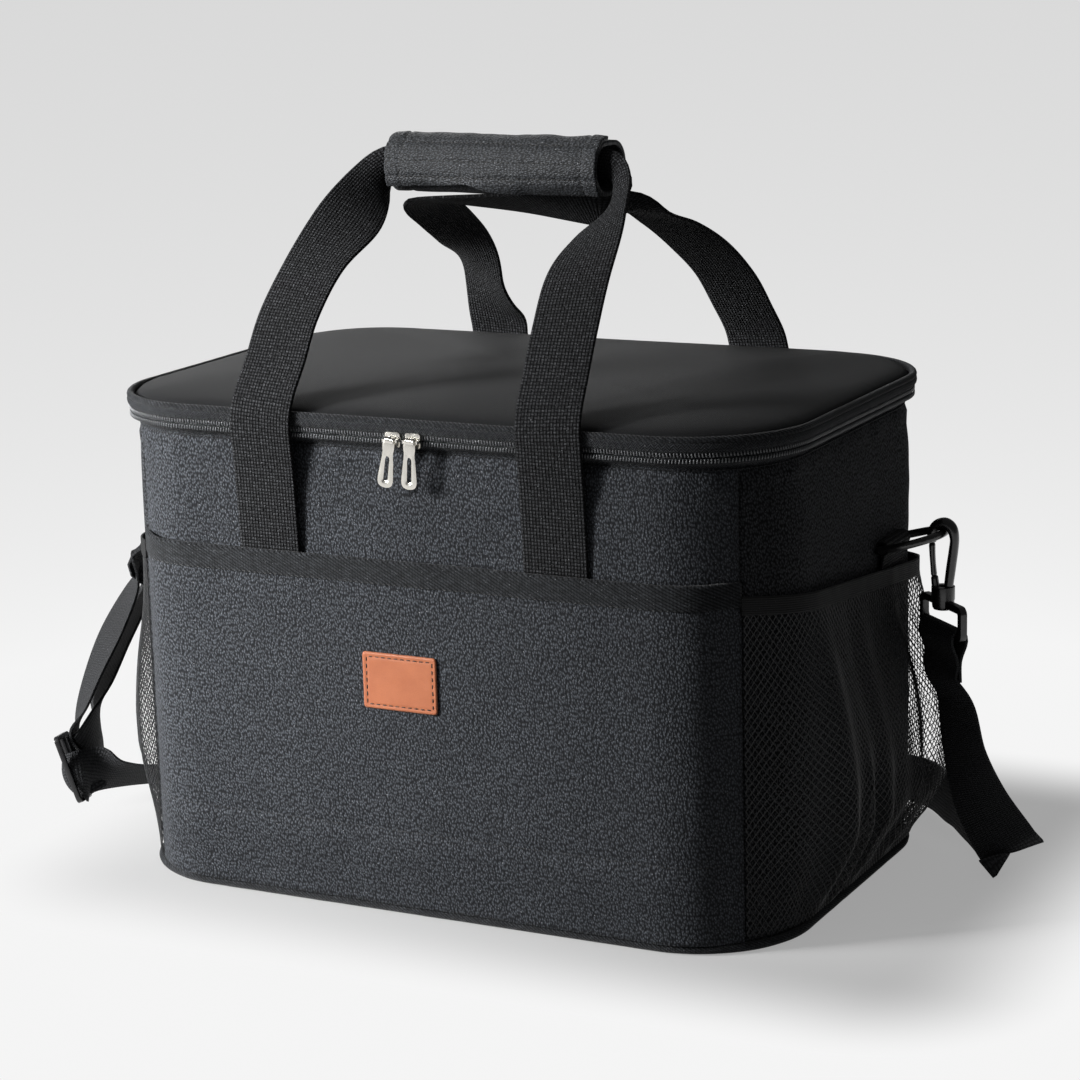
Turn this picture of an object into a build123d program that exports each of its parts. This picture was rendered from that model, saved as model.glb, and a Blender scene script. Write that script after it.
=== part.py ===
from build123d import *
import math
import os

os.makedirs("parts", exist_ok=True)

# An insulated cooler bag. Millimetres, +Z up, -Y is the front.
# The origin is the middle of the base, on the surface that the bag stands on.

# Body
body_width = 404.0
body_depth = 266.0
body_top = 262.0
corner_radius = 62.0
fabric = 1.2
foam = 5.0
lining = 0.8
seam_reach = 120.0

# Base
base_piping_radius = 2.5
base_piping_lift = 0.3
base_board_thickness = 2.0
shell_bottom = base_piping_lift + 2 * base_piping_radius + 0.1

# Rim of the tub and the zip above it
rim_binding = 0.8
tape_bottom = 258.0
tape_thickness = 1.2
tape_flare = 3.4
coil_gap = 1.2
coil_height = 2.0
coil_depth = 1.8
zip_line = 270.0
zip_back_stop = 30.0
lid_rim = 277.0
lid_piping_radius = 2.1
lid_piping_gap = 0.05

# Lid
lid_hem = 2.3
lid_skirt_bottom = 264.5
lid_rim_rise = 2.0
lid_crown = [(0.188, 7.5, 0.726), (0.451, 11.5, 0.484), (0.714, 13.0, 0.323)]

# Front pocket
pocket_stand_off = 7.0
pocket_top = 207.0
pocket_floor = 50.0
hem_height = 10.0
hem_thickness = 0.8
hem_gap = 0.05
gusset = 2.0

# Leather label
label_width = 46.0
label_height = 32.0
label_thickness = 1.6
label_centre_x = -6.5
label_centre_z = 135.5
label_corner = 2.0
stitch_inset = 2.6
stitch_length = 2.6
stitch_width = 0.6
stitch_proud = 0.35
stitches_long = 10
stitches_short = 6

# Mesh side pockets
mesh_thickness = 1.2
mesh_bottom = 6.0
mesh_foot_stand_off = 7.0
mesh_belly_stand_off = 22.0
mesh_belly_height = 75.0
mesh_mouth_stand_off = 7.5
mesh_top_front = 197.0
mesh_top_back = 168.0
binding_height = 10.0
binding_thickness = 1.0

# Handles
webbing_width = 38.0
webbing_thickness = 1.8
handle_spacing = 176.0
handle_end_bottom = 196.0
handle_fold_height = 258.0
sewn_gap = 0.1
split_gap = 0.3
rim_clearance = 9.5
grip_fold_width = 24.0
grip_fold_thickness = 3.6
grip_fold_lift = 1.6
grip_y = -12.0
grip_z = 403.0
back_span_y = -4.0
back_span_z = 381.0

# Wrap round the front handle
wrap_length = 130.0
wrap_width = 40.0
wrap_height = 31.0
wrap_wall = 2.6
wrap_corner = 13.0
flap_gap = 0.4
flap_thickness = 2.2
flap_hinge_inset = 4.0
flap_drop = 13.0
hook_strip_width = 13.0
hook_strip_thickness = 1.2

# Zip sliders and pulls
slider_width = 9.0
slider_spacing = 12.4
slider_plate = 1.5
slider_height = 8.4
slider_inner_height = 7.0
slider_web = 0.8
slider_inner_offset = 1.5
slider_inner_plate = 1.3
slider_outer_gap = 0.4
crown_bar_radius = 0.9
crown_reach = 2.5
crown_post = 1.3
pull_barrel_radius = 2.2
pull_bore_radius = 1.1
pull_length = 25.0
pull_width = 9.0
pull_thickness = 1.6
pull_slot_width = 3.0
pull_slot_length = 13.0
pull_side_gap = 0.3

# D-rings, their tabs and the snap hooks
ring_wire_radius = 2.25
ring_inner_width = 38.0
ring_side = 10.0
ring_y = 48.0
ring_bar_height = 190.0
ring_bar_stand_off = 4.9
ring_tilt = 15.0
tab_width = 36.0
tab_bottom = 162.0
tab_layer = 1.5
tab_eye_clearance = 0.45
hook_eye_half = 4.8
hook_wall = 3.6
hook_thickness = 6.5
hook_eye_foot = -26.0
hook_foot = -30.0
hook_ring_gap = 0.3
gate_bottom = -25.0
gate_top = -4.5
gate_gap = 0.3
stem_radius = 2.6
stem_head_radius = 4.2
stem_head = 2.0
swivel_clearance = 0.1
boss_radius = 6.6
boss_top = -30.4
loop_top = -38.0
loop_bar = 4.0
loop_inner_width = 40.0
loop_inner_height = 12.0
left_hook_lean = 48.0
right_loop_turn = -42.0
left_loop_turn = 90.0

# Shoulder strap and its adjuster
strap_width = 38.0
strap_thickness = 1.5
loop_bend = 4.4
strap_pair_gap = 0.4
route_half_width = 202.0
route_half_depth = 133.0
route_corner_radius = 62.0
adjuster_length = 44.0
adjuster_thickness = 3.0
adjuster_slot = 7.5
adjuster_centre_bar = 6.0
adjuster_end_bar = 3.0
adjuster_stand_off = 103.5
adjuster_y = -35.0
adjuster_height = 22.6
adjuster_along = Vector(-0.36, 0.0, 0.93).normalized()
adjuster_across = Vector(-0.35, 0.93, -0.135).normalized()

adjuster_depth = adjuster_centre_bar + 2 * adjuster_slot + 2 * adjuster_end_bar
half_width = body_width / 2
half_depth = body_depth / 2
adjuster_centre = Vector(-half_width - adjuster_stand_off, adjuster_y, adjuster_height)
straight_x = half_width - corner_radius
straight_y = half_depth - corner_radius
coil_bottom = zip_line - coil_gap / 2 - coil_height
coil_top = zip_line + coil_gap / 2 + coil_height
coil_offset = tape_flare + coil_depth
tape_outer = tape_flare + tape_thickness
piping_offset = tape_outer
handle_x = handle_spacing / 2
X, Y, Z = Vector(1, 0, 0), Vector(0, 1, 0), Vector(0, 0, 1)


def save(node, shape):
    solids = shape.solids() if hasattr(shape, "solids") else shape
    assert solids, node
    whole = solids[0] if len(solids) == 1 else Compound(solids)
    export_step(whole, f"parts/{node}.step")


def outline(offset, height):
    """The body's plan outline, grown by offset, at a height."""
    radius = corner_radius + offset
    return Pos(0, 0, height) * RectangleRounded(body_width + 2 * offset, body_depth + 2 * offset, radius)


def prism(offset, low, high):
    return extrude(outline(offset, low), amount=high - low)


def ring(outer, inner, low, high):
    return prism(outer, low, high) - prism(inner, low - 1, high + 1)


def stack(sections):
    """A solid through plan outlines, each an (offset, height) pair."""
    return loft([outline(offset, height) for offset, height in sections], ruled=True)


def block(low, high):
    size = [b - a for a, b in zip(low, high)]
    middle = [(a + b) / 2 for a, b in zip(low, high)]
    return Pos(*middle) * Box(*size)


def wedge(side, low, high, inset=0.0):
    """The sector of one wall, cut at the middle of each corner."""
    reach = seam_reach
    x, y = straight_x, straight_y
    trim = inset * math.sqrt(2)
    if side in ("front", "back"):
        sign = -1 if side == "front" else 1
        points = [
            (-x + trim, 0), (x - trim, 0), (x - trim, sign * y),
            (x - trim + reach, sign * (y + reach)), (-x + trim - reach, sign * (y + reach)),
            (-x + trim, sign * y),
        ]
    else:
        sign = -1 if side == "left" else 1
        points = [
            (0, -y + trim), (0, y - trim), (sign * x, y - trim),
            (sign * (x + reach), y - trim + reach), (sign * (x + reach), -y + trim - reach),
            (sign * x, -y + trim),
        ]
    return Pos(0, 0, low) * extrude(Polygon(*points, align=None), amount=high - low, dir=(0, 0, 1))


def ribbon(stations):
    """Webbing through stations of (centre, across, width, thickness), as a closed shell of flat facets."""
    sections = []
    last = len(stations) - 1
    for i, (centre, across, width, thickness) in enumerate(stations):
        run = Vector(0, 0, 0)
        if i < last:
            run += (stations[i + 1][0] - centre).normalized()
        if i > 0:
            run += (centre - stations[i - 1][0]).normalized()
        side = across.normalized()
        a = side * (width / 2)
        b = run.cross(side).normalized() * (thickness / 2)
        sections.append([centre + a + b, centre - a + b, centre - a - b, centre + a - b])
    faces = [flat(*sections[0]), flat(*sections[-1])]
    for here, there in zip(sections, sections[1:]):
        for k in range(4):
            m = (k + 1) % 4
            faces.append(flat(here[k], here[m], there[m]))
            faces.append(flat(here[k], there[m], there[k]))
    return Solid(Shell(faces))


def flat(*corners):
    return Face(Wire.make_polygon(corners))


# Shell, foam and lining ----------------------------------------------------

def walls():
    for side in ("front", "back", "left", "right"):
        name = f"{side}_panel" if side in ("front", "back") else f"side_panel_{side}"
        save(name, ring(0, -fabric, shell_bottom, body_top) & wedge(side, 0, body_top + 1))
        name = f"{side}_foam" if side in ("front", "back") else f"side_foam_{side}"
        layer = ring(-fabric, -fabric - foam, foam_floor + foam, body_top)
        save(name, layer & wedge(side, 0, body_top + 1))


foam_floor = fabric + base_board_thickness
base_inset = base_piping_radius - 0.4


def base():
    save("base_panel", prism(-base_inset, 0, fabric))
    save("base_board", prism(-base_inset, fabric, foam_floor))
    save("base_foam", prism(-base_inset, foam_floor, foam_floor + foam))
    path_height = base_piping_lift + base_piping_radius
    save("base_piping", cord_ring(0.5, path_height, base_piping_radius))


def cord_ring(offset, height, radius):
    """A piping cord round the body's outline."""
    path = outline(offset, height).wire()
    start = path.position_at(0)
    section = Plane(origin=start, z_dir=path.tangent_at(0)) * Circle(radius)
    return sweep(section, path=path)


def tub_lining():
    floor = foam_floor + foam
    inside = -fabric - foam
    tub = prism(inside, floor, body_top) - prism(inside - lining, floor + lining, body_top + 1)
    save("inner_liner", tub)
    save("rim_binding", ring(0, inside - lining, body_top, body_top + rim_binding))


# Zip -----------------------------------------------------------------------

zip_end = block((-seam_reach * 4, half_depth - zip_back_stop, 0), (seam_reach * 4, half_depth + 50, 400))


def zip_tapes():
    tape_inner = [(0, tape_bottom), (0, body_top), (tape_flare, coil_bottom)]
    tape_outside = [(offset + tape_thickness, height) for offset, height in tape_inner]
    lower = stack(tape_outside) - stack(tape_inner)
    save("zipper_tape_lower", lower - zip_end)
    save("zipper_coil_lower", ring(coil_offset, tape_flare, coil_bottom, coil_bottom + coil_height) - zip_end)
    save("zipper_coil_upper", ring(coil_offset, tape_flare, coil_top - coil_height, coil_top) - zip_end)
    save("zipper_tape_upper", ring(tape_outer, tape_flare, coil_top, lid_rim) - zip_end)


def hinge_strip():
    """The cloth hinge that takes over from the zip across the back."""
    inner = [(0, tape_bottom), (0, body_top), (tape_flare, coil_bottom), (tape_flare, lid_rim)]
    outer = [(offset + tape_thickness, height) for offset, height in inner]
    back_band = block((-seam_reach * 4, half_depth - zip_back_stop + split_gap, 0), (seam_reach * 4, half_depth + 50, 400))
    save("lid_hinge_strip", (stack(outer) - stack(inner)) & back_band)


# Lid -----------------------------------------------------------------------

def crown(inset, low):
    """The lid's domed outside, moved in and down by inset, closed at low.

    The crown's steps in from the edge are shares of half the depth, and its
    corners are shares of the body's corner radius.
    """
    sections = [(-lid_hem, lid_rim_rise, corner_radius + lid_hem)]
    for share, height, rounding in lid_crown:
        sections.append((share * half_depth, height, rounding * corner_radius))
    sheets = []
    for edge, height, radius in sections:
        step = edge + inset
        size = (body_width - 2 * step, body_depth - 2 * step, max(radius - inset, 4))
        sheets.append(Pos(0, 0, lid_rim + height - inset) * RectangleRounded(*size))
    edge, height, radius = sections[0]
    foot = Pos(0, 0, low) * RectangleRounded(
        body_width - 2 * (edge + inset), body_depth - 2 * (edge + inset), radius - inset)
    skirt = extrude(foot, amount=lid_rim + height - inset - low)
    return skirt + loft(sheets, ruled=True)


def lid():
    save("lid_panel", crown(0, lid_rim) - crown(fabric, lid_rim - 5))
    save("lid_foam", crown(fabric, lid_skirt_bottom) - crown(fabric + foam, lid_skirt_bottom - 5))
    save("lid_liner", crown(fabric + foam, lid_skirt_bottom) - crown(fabric + foam + lining, lid_skirt_bottom - 5))
    height = lid_rim + lid_piping_gap + lid_piping_radius
    save("lid_piping", cord_ring(piping_offset, height, lid_piping_radius))


# Front pocket and label ----------------------------------------------------

pocket_face = half_depth + pocket_stand_off


def front_pocket():
    high = pocket_top
    outer = prism(pocket_stand_off, shell_bottom, high) - prism(0, 0, high + 1)
    outer = outer & wedge("front", 0, high)
    room = prism(pocket_stand_off - fabric, pocket_floor, high + 1) - prism(0, 0, high + 2)
    room = room & wedge("front", pocket_floor, high + 1, gusset)
    save("front_pocket_panel", outer - room)
    start = pocket_stand_off + hem_gap
    hem = ring(start + hem_thickness, start, high - hem_height, high)
    save("front_pocket_hem", hem & wedge("front", 0, high + 1))


def label():
    face = -(pocket_face + 0.02)
    plate = Plane(origin=(label_centre_x, face, label_centre_z), x_dir=(1, 0, 0), z_dir=(0, -1, 0))
    save("leather_label", extrude(plate * RectangleRounded(label_width, label_height, label_corner), amount=label_thickness))
    stitches = []
    y = face - label_thickness
    for count, length, across in ((stitches_long, label_width, False), (stitches_short, label_height, True)):
        reach = length - 2 * stitch_inset
        pitch = reach / count
        rail = (label_height if not across else label_width) / 2 - stitch_inset
        for i in range(count):
            along = -reach / 2 + pitch * (i + 0.5)
            for sign in (-1, 1):
                if across:
                    at = (label_centre_x + sign * rail, y - stitch_proud / 2, label_centre_z + along)
                    stitches.append(Pos(*at) * Box(stitch_width, stitch_proud, stitch_length))
                else:
                    at = (label_centre_x + along, y - stitch_proud / 2, label_centre_z + sign * rail)
                    stitches.append(Pos(*at) * Box(stitch_length, stitch_proud, stitch_width))
    save("label_stitching", ShapeList([s.solids()[0] for s in stitches]))


# Mesh side pockets ---------------------------------------------------------

def slope_cut(side, lift):
    """What lies above the sloping mouth of a side pocket."""
    low, high = -half_depth, half_depth
    x = -1 if side == "left" else 1
    profile = Plane(origin=(0, 0, 0), x_dir=(0, 1, 0), z_dir=(1, 0, 0)) * Polygon(
        (low * 2, mesh_top_front + lift + (mesh_top_front - mesh_top_back) / 2),
        (high * 2, mesh_top_back + lift - (mesh_top_front - mesh_top_back) / 2),
        (high * 2, 400), (low * 2, 400), align=None)
    return Pos(x * 300 - 300, 0, 0) * extrude(profile, amount=600, dir=(1, 0, 0))


def mesh_profile(inset):
    """The pocket's side view, as (stand-off, height) pairs, moved in by inset."""
    return [
        (mesh_foot_stand_off - inset, mesh_bottom), (mesh_belly_stand_off - inset, mesh_belly_height),
        (mesh_mouth_stand_off - inset, mesh_top_front + binding_height),
    ]


def side_pockets():
    high = mesh_top_front + binding_height
    for side in ("left", "right"):
        outer = (stack(mesh_profile(0)) - prism(0, 0, high + 1)) & wedge(side, 0, high)
        room = stack(mesh_profile(mesh_thickness)) - prism(0, 0, high + 1)
        floor = mesh_bottom + mesh_thickness
        room = room & wedge(side, floor, high + 1, gusset)
        save(f"mesh_pocket_{side}", outer - room - slope_cut(side, 0))
        band = stack(mesh_profile(-hem_gap - binding_thickness)) - stack(mesh_profile(-hem_gap))
        band = band & wedge(side, 0, high)
        save(f"mesh_binding_{side}", (band - slope_cut(side, 0)) & slope_cut(side, -binding_height))


# Handles -------------------------------------------------------------------

def handle_ends():
    for row, sign in (("front", -1), ("back", 1)):
        for side, x in (("left", -handle_x), ("right", handle_x)):
            near = sign * (half_depth + sewn_gap)
            far = sign * (half_depth + sewn_gap + webbing_thickness)
            low = (x - webbing_width / 2, min(near, far), handle_end_bottom)
            high = (x + webbing_width / 2, max(near, far), tape_bottom - split_gap)
            save(f"{row}_handle_end_{side}", block(low, high))


def leg(sign, bend):
    """One handle leg from its fold up to the grip, on the side that sign gives."""
    start = half_depth + sewn_gap + webbing_thickness / 2
    out = half_depth + rim_clearance
    rise = [
        (handle_x, start + 1.4, handle_fold_height + split_gap),
        (handle_x, start + 4.6, handle_fold_height + 6),
        (handle_x, out - 0.8, handle_fold_height + 13),
        (handle_x - 0.5, out, handle_fold_height + 21),
        (handle_x - 2, out - 5, handle_fold_height + 34),
    ]
    return [Vector(sign * x, bend * y, z) for x, y, z in rise]


def handle_loop(bend, upper, twists, span, narrow):
    """Both legs and the span of one handle, mirrored about the middle."""
    full = (webbing_width, webbing_thickness)
    right = [(p, X, *full) for p in leg(1, bend)]
    for (x, y, z), twist, small in zip(upper, twists, narrow):
        size = (grip_fold_width, grip_fold_thickness) if small else full
        right.append((Vector(x, y, z), Vector(*twist).normalized(), *size))
    left = []
    for centre, across, width, thickness in reversed(right):
        mirrored = Vector(-across.X, across.Y, across.Z)
        left.append((Vector(-centre.X, centre.Y, centre.Z), mirrored, width, thickness))
    return ribbon(right + [span] + left)


def climb(bend, end, shares):
    """Points of a leg between its lower bend and the grip's end, at shares of the way in x, y and z."""
    start = leg(1, bend)[-1]
    return [(start.X + (end[0] - start.X) * a, start.Y + (end[1] - start.Y) * b, start.Z + (end[2] - start.Z) * c)
            for a, b, c in shares]


def handles():
    tilt = (0, -0.788, 0.615)
    fold_z = grip_z + grip_fold_lift
    mouth = (wrap_length / 2 + 4.5, grip_y - 5.5, fold_z - 4.5)
    shares = [(0.0, 0.09, 0.13), (0.1, 0.21, 0.35), (0.3, 0.41, 0.58), (0.48, 0.68, 0.77), (0.58, 0.89, 0.9), (1, 1, 1)]
    upper = climb(-1, mouth, shares) + [(wrap_length / 2 - 13, grip_y, fold_z)]
    twists = [(1, 0, 0), (1, 0, 0), (1, -0.05, 0.04), (0.9, -0.35, 0.27), (0.6, -0.64, 0.48), (0.15, -0.77, 0.6), tilt]
    narrow = [False, False, False, False, False, True, True]
    span = (Vector(0, grip_y, fold_z), Vector(*tilt), grip_fold_width, grip_fold_thickness)
    save("front_handle_webbing", handle_loop(-1, upper, twists, span, narrow))
    end = (handle_x * 0.65, back_span_y + 10, back_span_z - 1)
    shares = [(0.03, 0.1, 0.17), (0.14, 0.25, 0.43), (0.28, 0.46, 0.66), (0.45, 0.68, 0.84), (0.66, 0.875, 0.955), (1, 1, 1)]
    upper = climb(1, end, shares) + [(end[0] - 12, back_span_y + 2, back_span_z)]
    twists = [(1, 0, 0), (1, 0, 0), (1, -0.1, 0.1), (0.85, -0.5, 0.2), (0.5, -0.85, 0.2), (0.2, -1, 0.1), (0, -1, 0.06)]
    span = (Vector(0, back_span_y, back_span_z), Vector(0, -1, 0.06), webbing_width, webbing_thickness)
    save("back_handle_webbing", handle_loop(1, upper, twists, span, [False] * 7))


def wrap_section(grow):
    plane = Plane(origin=(-wrap_length / 2, grip_y, grip_z), x_dir=(0, 1, 0), z_dir=(1, 0, 0))
    return plane * RectangleRounded(wrap_width + 2 * grow, wrap_height + 2 * grow, wrap_corner + grow)


def grip():
    outer = extrude(wrap_section(0), amount=wrap_length)
    save("handle_wrap", outer - extrude(wrap_section(-wrap_wall), amount=wrap_length))
    skin = extrude(wrap_section(flap_gap + flap_thickness), amount=wrap_length)
    skin = skin - extrude(wrap_section(flap_gap), amount=wrap_length)
    keep = block((-wrap_length, grip_y - wrap_width, grip_z - flap_drop),
                 (wrap_length, grip_y - flap_hinge_inset, grip_z + wrap_height))
    save("wrap_flap", skin & keep)
    top = grip_z - wrap_height / 2 + wrap_wall + 0.05
    low = (-wrap_length / 2 + 6, grip_y - hook_strip_width / 2, top)
    high = (wrap_length / 2 - 6, grip_y + hook_strip_width / 2, top + hook_strip_thickness)
    save("wrap_fastener_strip", block(low, high))


# Zip sliders and pulls -----------------------------------------------------

def slider(x):
    """One slider astride the two coils: plates outside and inside, and a web between the coils."""
    outside = -(half_depth + coil_offset + slider_outer_gap)
    inside = -(half_depth + slider_inner_offset)
    half = slider_width / 2
    outer = block((x - half, outside - slider_plate, zip_line - slider_height / 2),
                  (x + half, outside, zip_line + slider_height / 2))
    outer = fillet(outer.edges().filter_by(Axis.Y), 1.6)
    inner_low = (x - half, inside - slider_inner_plate, zip_line - slider_inner_height / 2)
    inner = block(inner_low, (x + half, inside, zip_line + slider_inner_height / 2))
    web = block((x - half + 2, outside - 0.5, zip_line - slider_web / 2),
                (x + half - 2, inside - 0.5, zip_line + slider_web / 2))
    body = outer + inner + web
    bar_y = outside - slider_plate - crown_reach
    for sign in (-1, 1):
        edge = x + sign * (half - crown_post / 2)
        low = (edge - crown_post / 2, bar_y - crown_bar_radius, zip_line - crown_bar_radius)
        high = (edge + crown_post / 2, outside - slider_plate / 2, zip_line + crown_bar_radius)
        body = body + block(low, high)
    bar = Pos(x, bar_y, zip_line) * Rot(0, 90, 0) * Cylinder(crown_bar_radius, slider_width - crown_post)
    return body + bar, bar_y


def pull(x, bar_y):
    length = slider_width - 2 * crown_post - 2 * pull_side_gap
    barrel = Pos(x, bar_y, zip_line) * Rot(0, 90, 0) * Cylinder(pull_barrel_radius, length)
    face = Plane(origin=(x, bar_y + pull_thickness / 2, zip_line - pull_length / 2 - 0.5), x_dir=(1, 0, 0), z_dir=(0, -1, 0))
    plate = extrude(face * RectangleRounded(pull_width, pull_length, 3.4), amount=pull_thickness)
    slot_at = Plane(origin=(x, bar_y + pull_thickness, zip_line - pull_length / 2 - 3.5), x_dir=(1, 0, 0), z_dir=(0, -1, 0))
    slot = extrude(slot_at * SlotOverall(pull_slot_length, pull_slot_width, rotation=90), amount=2 * pull_thickness)
    neck = block((x - slider_width, bar_y - 9, zip_line - 2.4), (x + slider_width, bar_y + 9, zip_line + 9))
    plate = (plate - slot) - neck
    stalk = block((x - length / 2, bar_y - pull_thickness / 2, zip_line - 4), (x + length / 2, bar_y + pull_thickness / 2, zip_line))
    whole = plate + stalk + barrel
    bore = Pos(x, bar_y, zip_line) * Rot(0, 90, 0) * Cylinder(pull_bore_radius, slider_width)
    return whole - bore


def zip_hardware():
    for side, sign in (("left", -1), ("right", 1)):
        x = sign * slider_spacing / 2
        body, bar_y = slider(x)
        save(f"slider_{side}", body)
        save(f"pull_{side}", pull(x, bar_y))


# D-rings, tabs and snap hooks ----------------------------------------------

ring_bar_x = half_width + ring_bar_stand_off
ring_reach = ring_side + ring_inner_width / 2 + ring_wire_radius


def ring_far_point(sign):
    """The middle of the ring's bow, where the hook's eye rides."""
    tilt = math.radians(ring_tilt)
    along = ring_bar_x + ring_reach * math.cos(tilt)
    return Vector(sign * along, ring_y, ring_bar_height + ring_reach * math.sin(tilt))


def d_ring():
    """A D-ring lying in XY, its straight bar along Y through the origin."""
    wire = ring_wire_radius
    half = ring_inner_width / 2 + wire
    bar = Rot(90, 0, 0) * Cylinder(wire, 2 * half)
    body = bar
    for sign in (-1, 1):
        body = body + Pos(0, sign * half, 0) * Sphere(wire)
        body = body + Pos(ring_side / 2, sign * half, 0) * Rot(0, 90, 0) * Cylinder(wire, ring_side)
    bow = Pos(ring_side, 0, 0) * Torus(half, wire)
    bow = bow & block((ring_side, -2 * half, -5), (ring_side + 2 * half, 2 * half, 5))
    return body + bow


def tab():
    """The sewn webbing loop that carries a D-ring, on the right-hand wall."""
    inner = ring_wire_radius + tab_eye_clearance
    outer = inner + tab_layer
    eye = Pos(ring_bar_x, 0, ring_bar_height) * Rot(90, 0, 0) * Cylinder(outer, tab_width)
    neck = block((half_width + sewn_gap, -tab_width / 2, tab_bottom),
                 (half_width + sewn_gap + 2 * tab_layer, tab_width / 2, ring_bar_height))
    bore = Pos(ring_bar_x, 0, ring_bar_height) * Rot(90, 0, 0) * Cylinder(inner, 2 * tab_width)
    return (eye + neck) - bore - prism(sewn_gap, 0, 400)


def placed(shape, side, lean=0.0):
    """Moves a shape made about the ring's far bar into place on one side."""
    sign = 1 if side == "right" else -1
    at = ring_far_point(sign)
    return Pos(at.X, at.Y, at.Z) * Rot(0, -lean * sign, 0) * shape


def eye_plane():
    return Plane(origin=(0, hook_thickness / 2, 0), x_dir=(1, 0, 0), z_dir=(0, -1, 0))


hook_eye_top = ring_wire_radius + hook_ring_gap


def snap_hook(sign):
    """The hook: an eye open on one side for the gate, and a swivel stem below."""
    outer_half = hook_eye_half + hook_wall
    top = hook_eye_top + hook_wall
    height = top - hook_foot
    outside = eye_plane() * Pos(0, (top + hook_foot) / 2) * RectangleRounded(2 * outer_half, height, outer_half * 0.98)
    slot_height = hook_eye_top - hook_eye_foot
    inside = eye_plane() * Pos(0, (hook_eye_top + hook_eye_foot) / 2) * SlotOverall(slot_height, 2 * hook_eye_half, rotation=90)
    eye = extrude(outside, amount=hook_thickness) - extrude(inside, amount=hook_thickness)
    far = sign * 30
    mouth = block((min(far, sign * 0.5), -9, gate_bottom - gate_gap), (max(far, sign * 0.5), 9, gate_top + gate_gap))
    head_top = loop_top - loop_bar - swivel_clearance
    stem_low = head_top - stem_head
    stem_high = hook_foot + 2.0
    stem = Pos(0, 0, (stem_low + stem_high) / 2) * Cylinder(stem_radius, stem_high - stem_low)
    head = Pos(0, 0, head_top - stem_head / 2) * Cylinder(stem_head_radius, stem_head)
    return (eye - mouth) + stem + head


def gate(sign):
    """The sprung tongue that closes the hook's open side."""
    inner = hook_eye_half + 0.4
    outer = hook_eye_half + hook_wall - 0.4
    low = (min(sign * inner, sign * outer), -hook_thickness / 2 + 0.6, gate_bottom)
    high = (max(sign * inner, sign * outer), hook_thickness / 2 - 0.6, gate_top)
    return fillet(block(low, high).edges().filter_by(Axis.Y), 0.8)


def strap_loop(turn):
    """The swivel loop below the hook, which the webbing is sewn round."""
    bore = Pos(0, 0, loop_top) * Cylinder(stem_radius + swivel_clearance, 60)
    boss = Pos(0, 0, (boss_top + loop_top) / 2) * Cylinder(boss_radius, boss_top - loop_top)
    height = loop_inner_height + 2 * loop_bar
    plane = Plane(origin=(0, loop_bar / 2, loop_top - height / 2), x_dir=(1, 0, 0), z_dir=(0, -1, 0))
    frame = extrude(plane * RectangleRounded(loop_inner_width + 2 * loop_bar, height, 4.5), amount=loop_bar)
    frame = frame - extrude(plane * RectangleRounded(loop_inner_width, loop_inner_height, 1.2), amount=loop_bar)
    bearing = Pos(0, 0, loop_top - loop_bar / 2) * Cylinder(boss_radius - 1, loop_bar)
    return Rot(0, 0, turn) * ((boss + frame + bearing) - bore)


def side_hardware():
    for side in ("left", "right"):
        sign = 1 if side == "right" else -1
        lean = left_hook_lean if side == "left" else 0.0
        turn = left_loop_turn if side == "left" else right_loop_turn
        ring_body = Rot(0, -ring_tilt, 0) * d_ring()
        ring_body = Pos(ring_bar_x, ring_y, ring_bar_height) * ring_body
        tab_body = Pos(0, ring_y, 0) * tab()
        if side == "left":
            ring_body = mirror(ring_body, about=Plane.YZ)
            tab_body = mirror(tab_body, about=Plane.YZ)
        save(f"d_ring_{side}", ring_body)
        save(f"d_ring_tab_{side}", tab_body)
        save(f"hook_{side}", placed(snap_hook(-sign), side, lean))
        save(f"gate_{side}", placed(gate(-sign), side, lean))
        save(f"strap_loop_{side}", placed(strap_loop(turn), side, lean))


# Shoulder strap ------------------------------------------------------------

def round_bar(centre, away, out, across):
    """Webbing that comes up to a bar on its outer side, goes round it and back down."""
    pair = (strap_thickness + strap_pair_gap) / 2
    near = [away * 26 + out * pair, away * 14 + out * pair, away * 4.5 + out * loop_bend]
    arc = []
    for degrees in (0, 45, 90, 135, 180):
        a = math.radians(degrees)
        arc.append(out * (loop_bend * math.cos(a)) - away * (loop_bend * math.sin(a)))
    far = [away * 4.5 - out * loop_bend, away * 14 - out * pair, away * 26 - out * pair]
    return [(centre + p, across) for p in near + arc + far]


def through_adjuster(depth, height):
    """A point at a depth and a height measured from the middle of the adjuster."""
    normal = adjuster_along.cross(adjuster_across)
    return (adjuster_centre + adjuster_across * depth + normal * height, adjuster_along)


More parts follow.
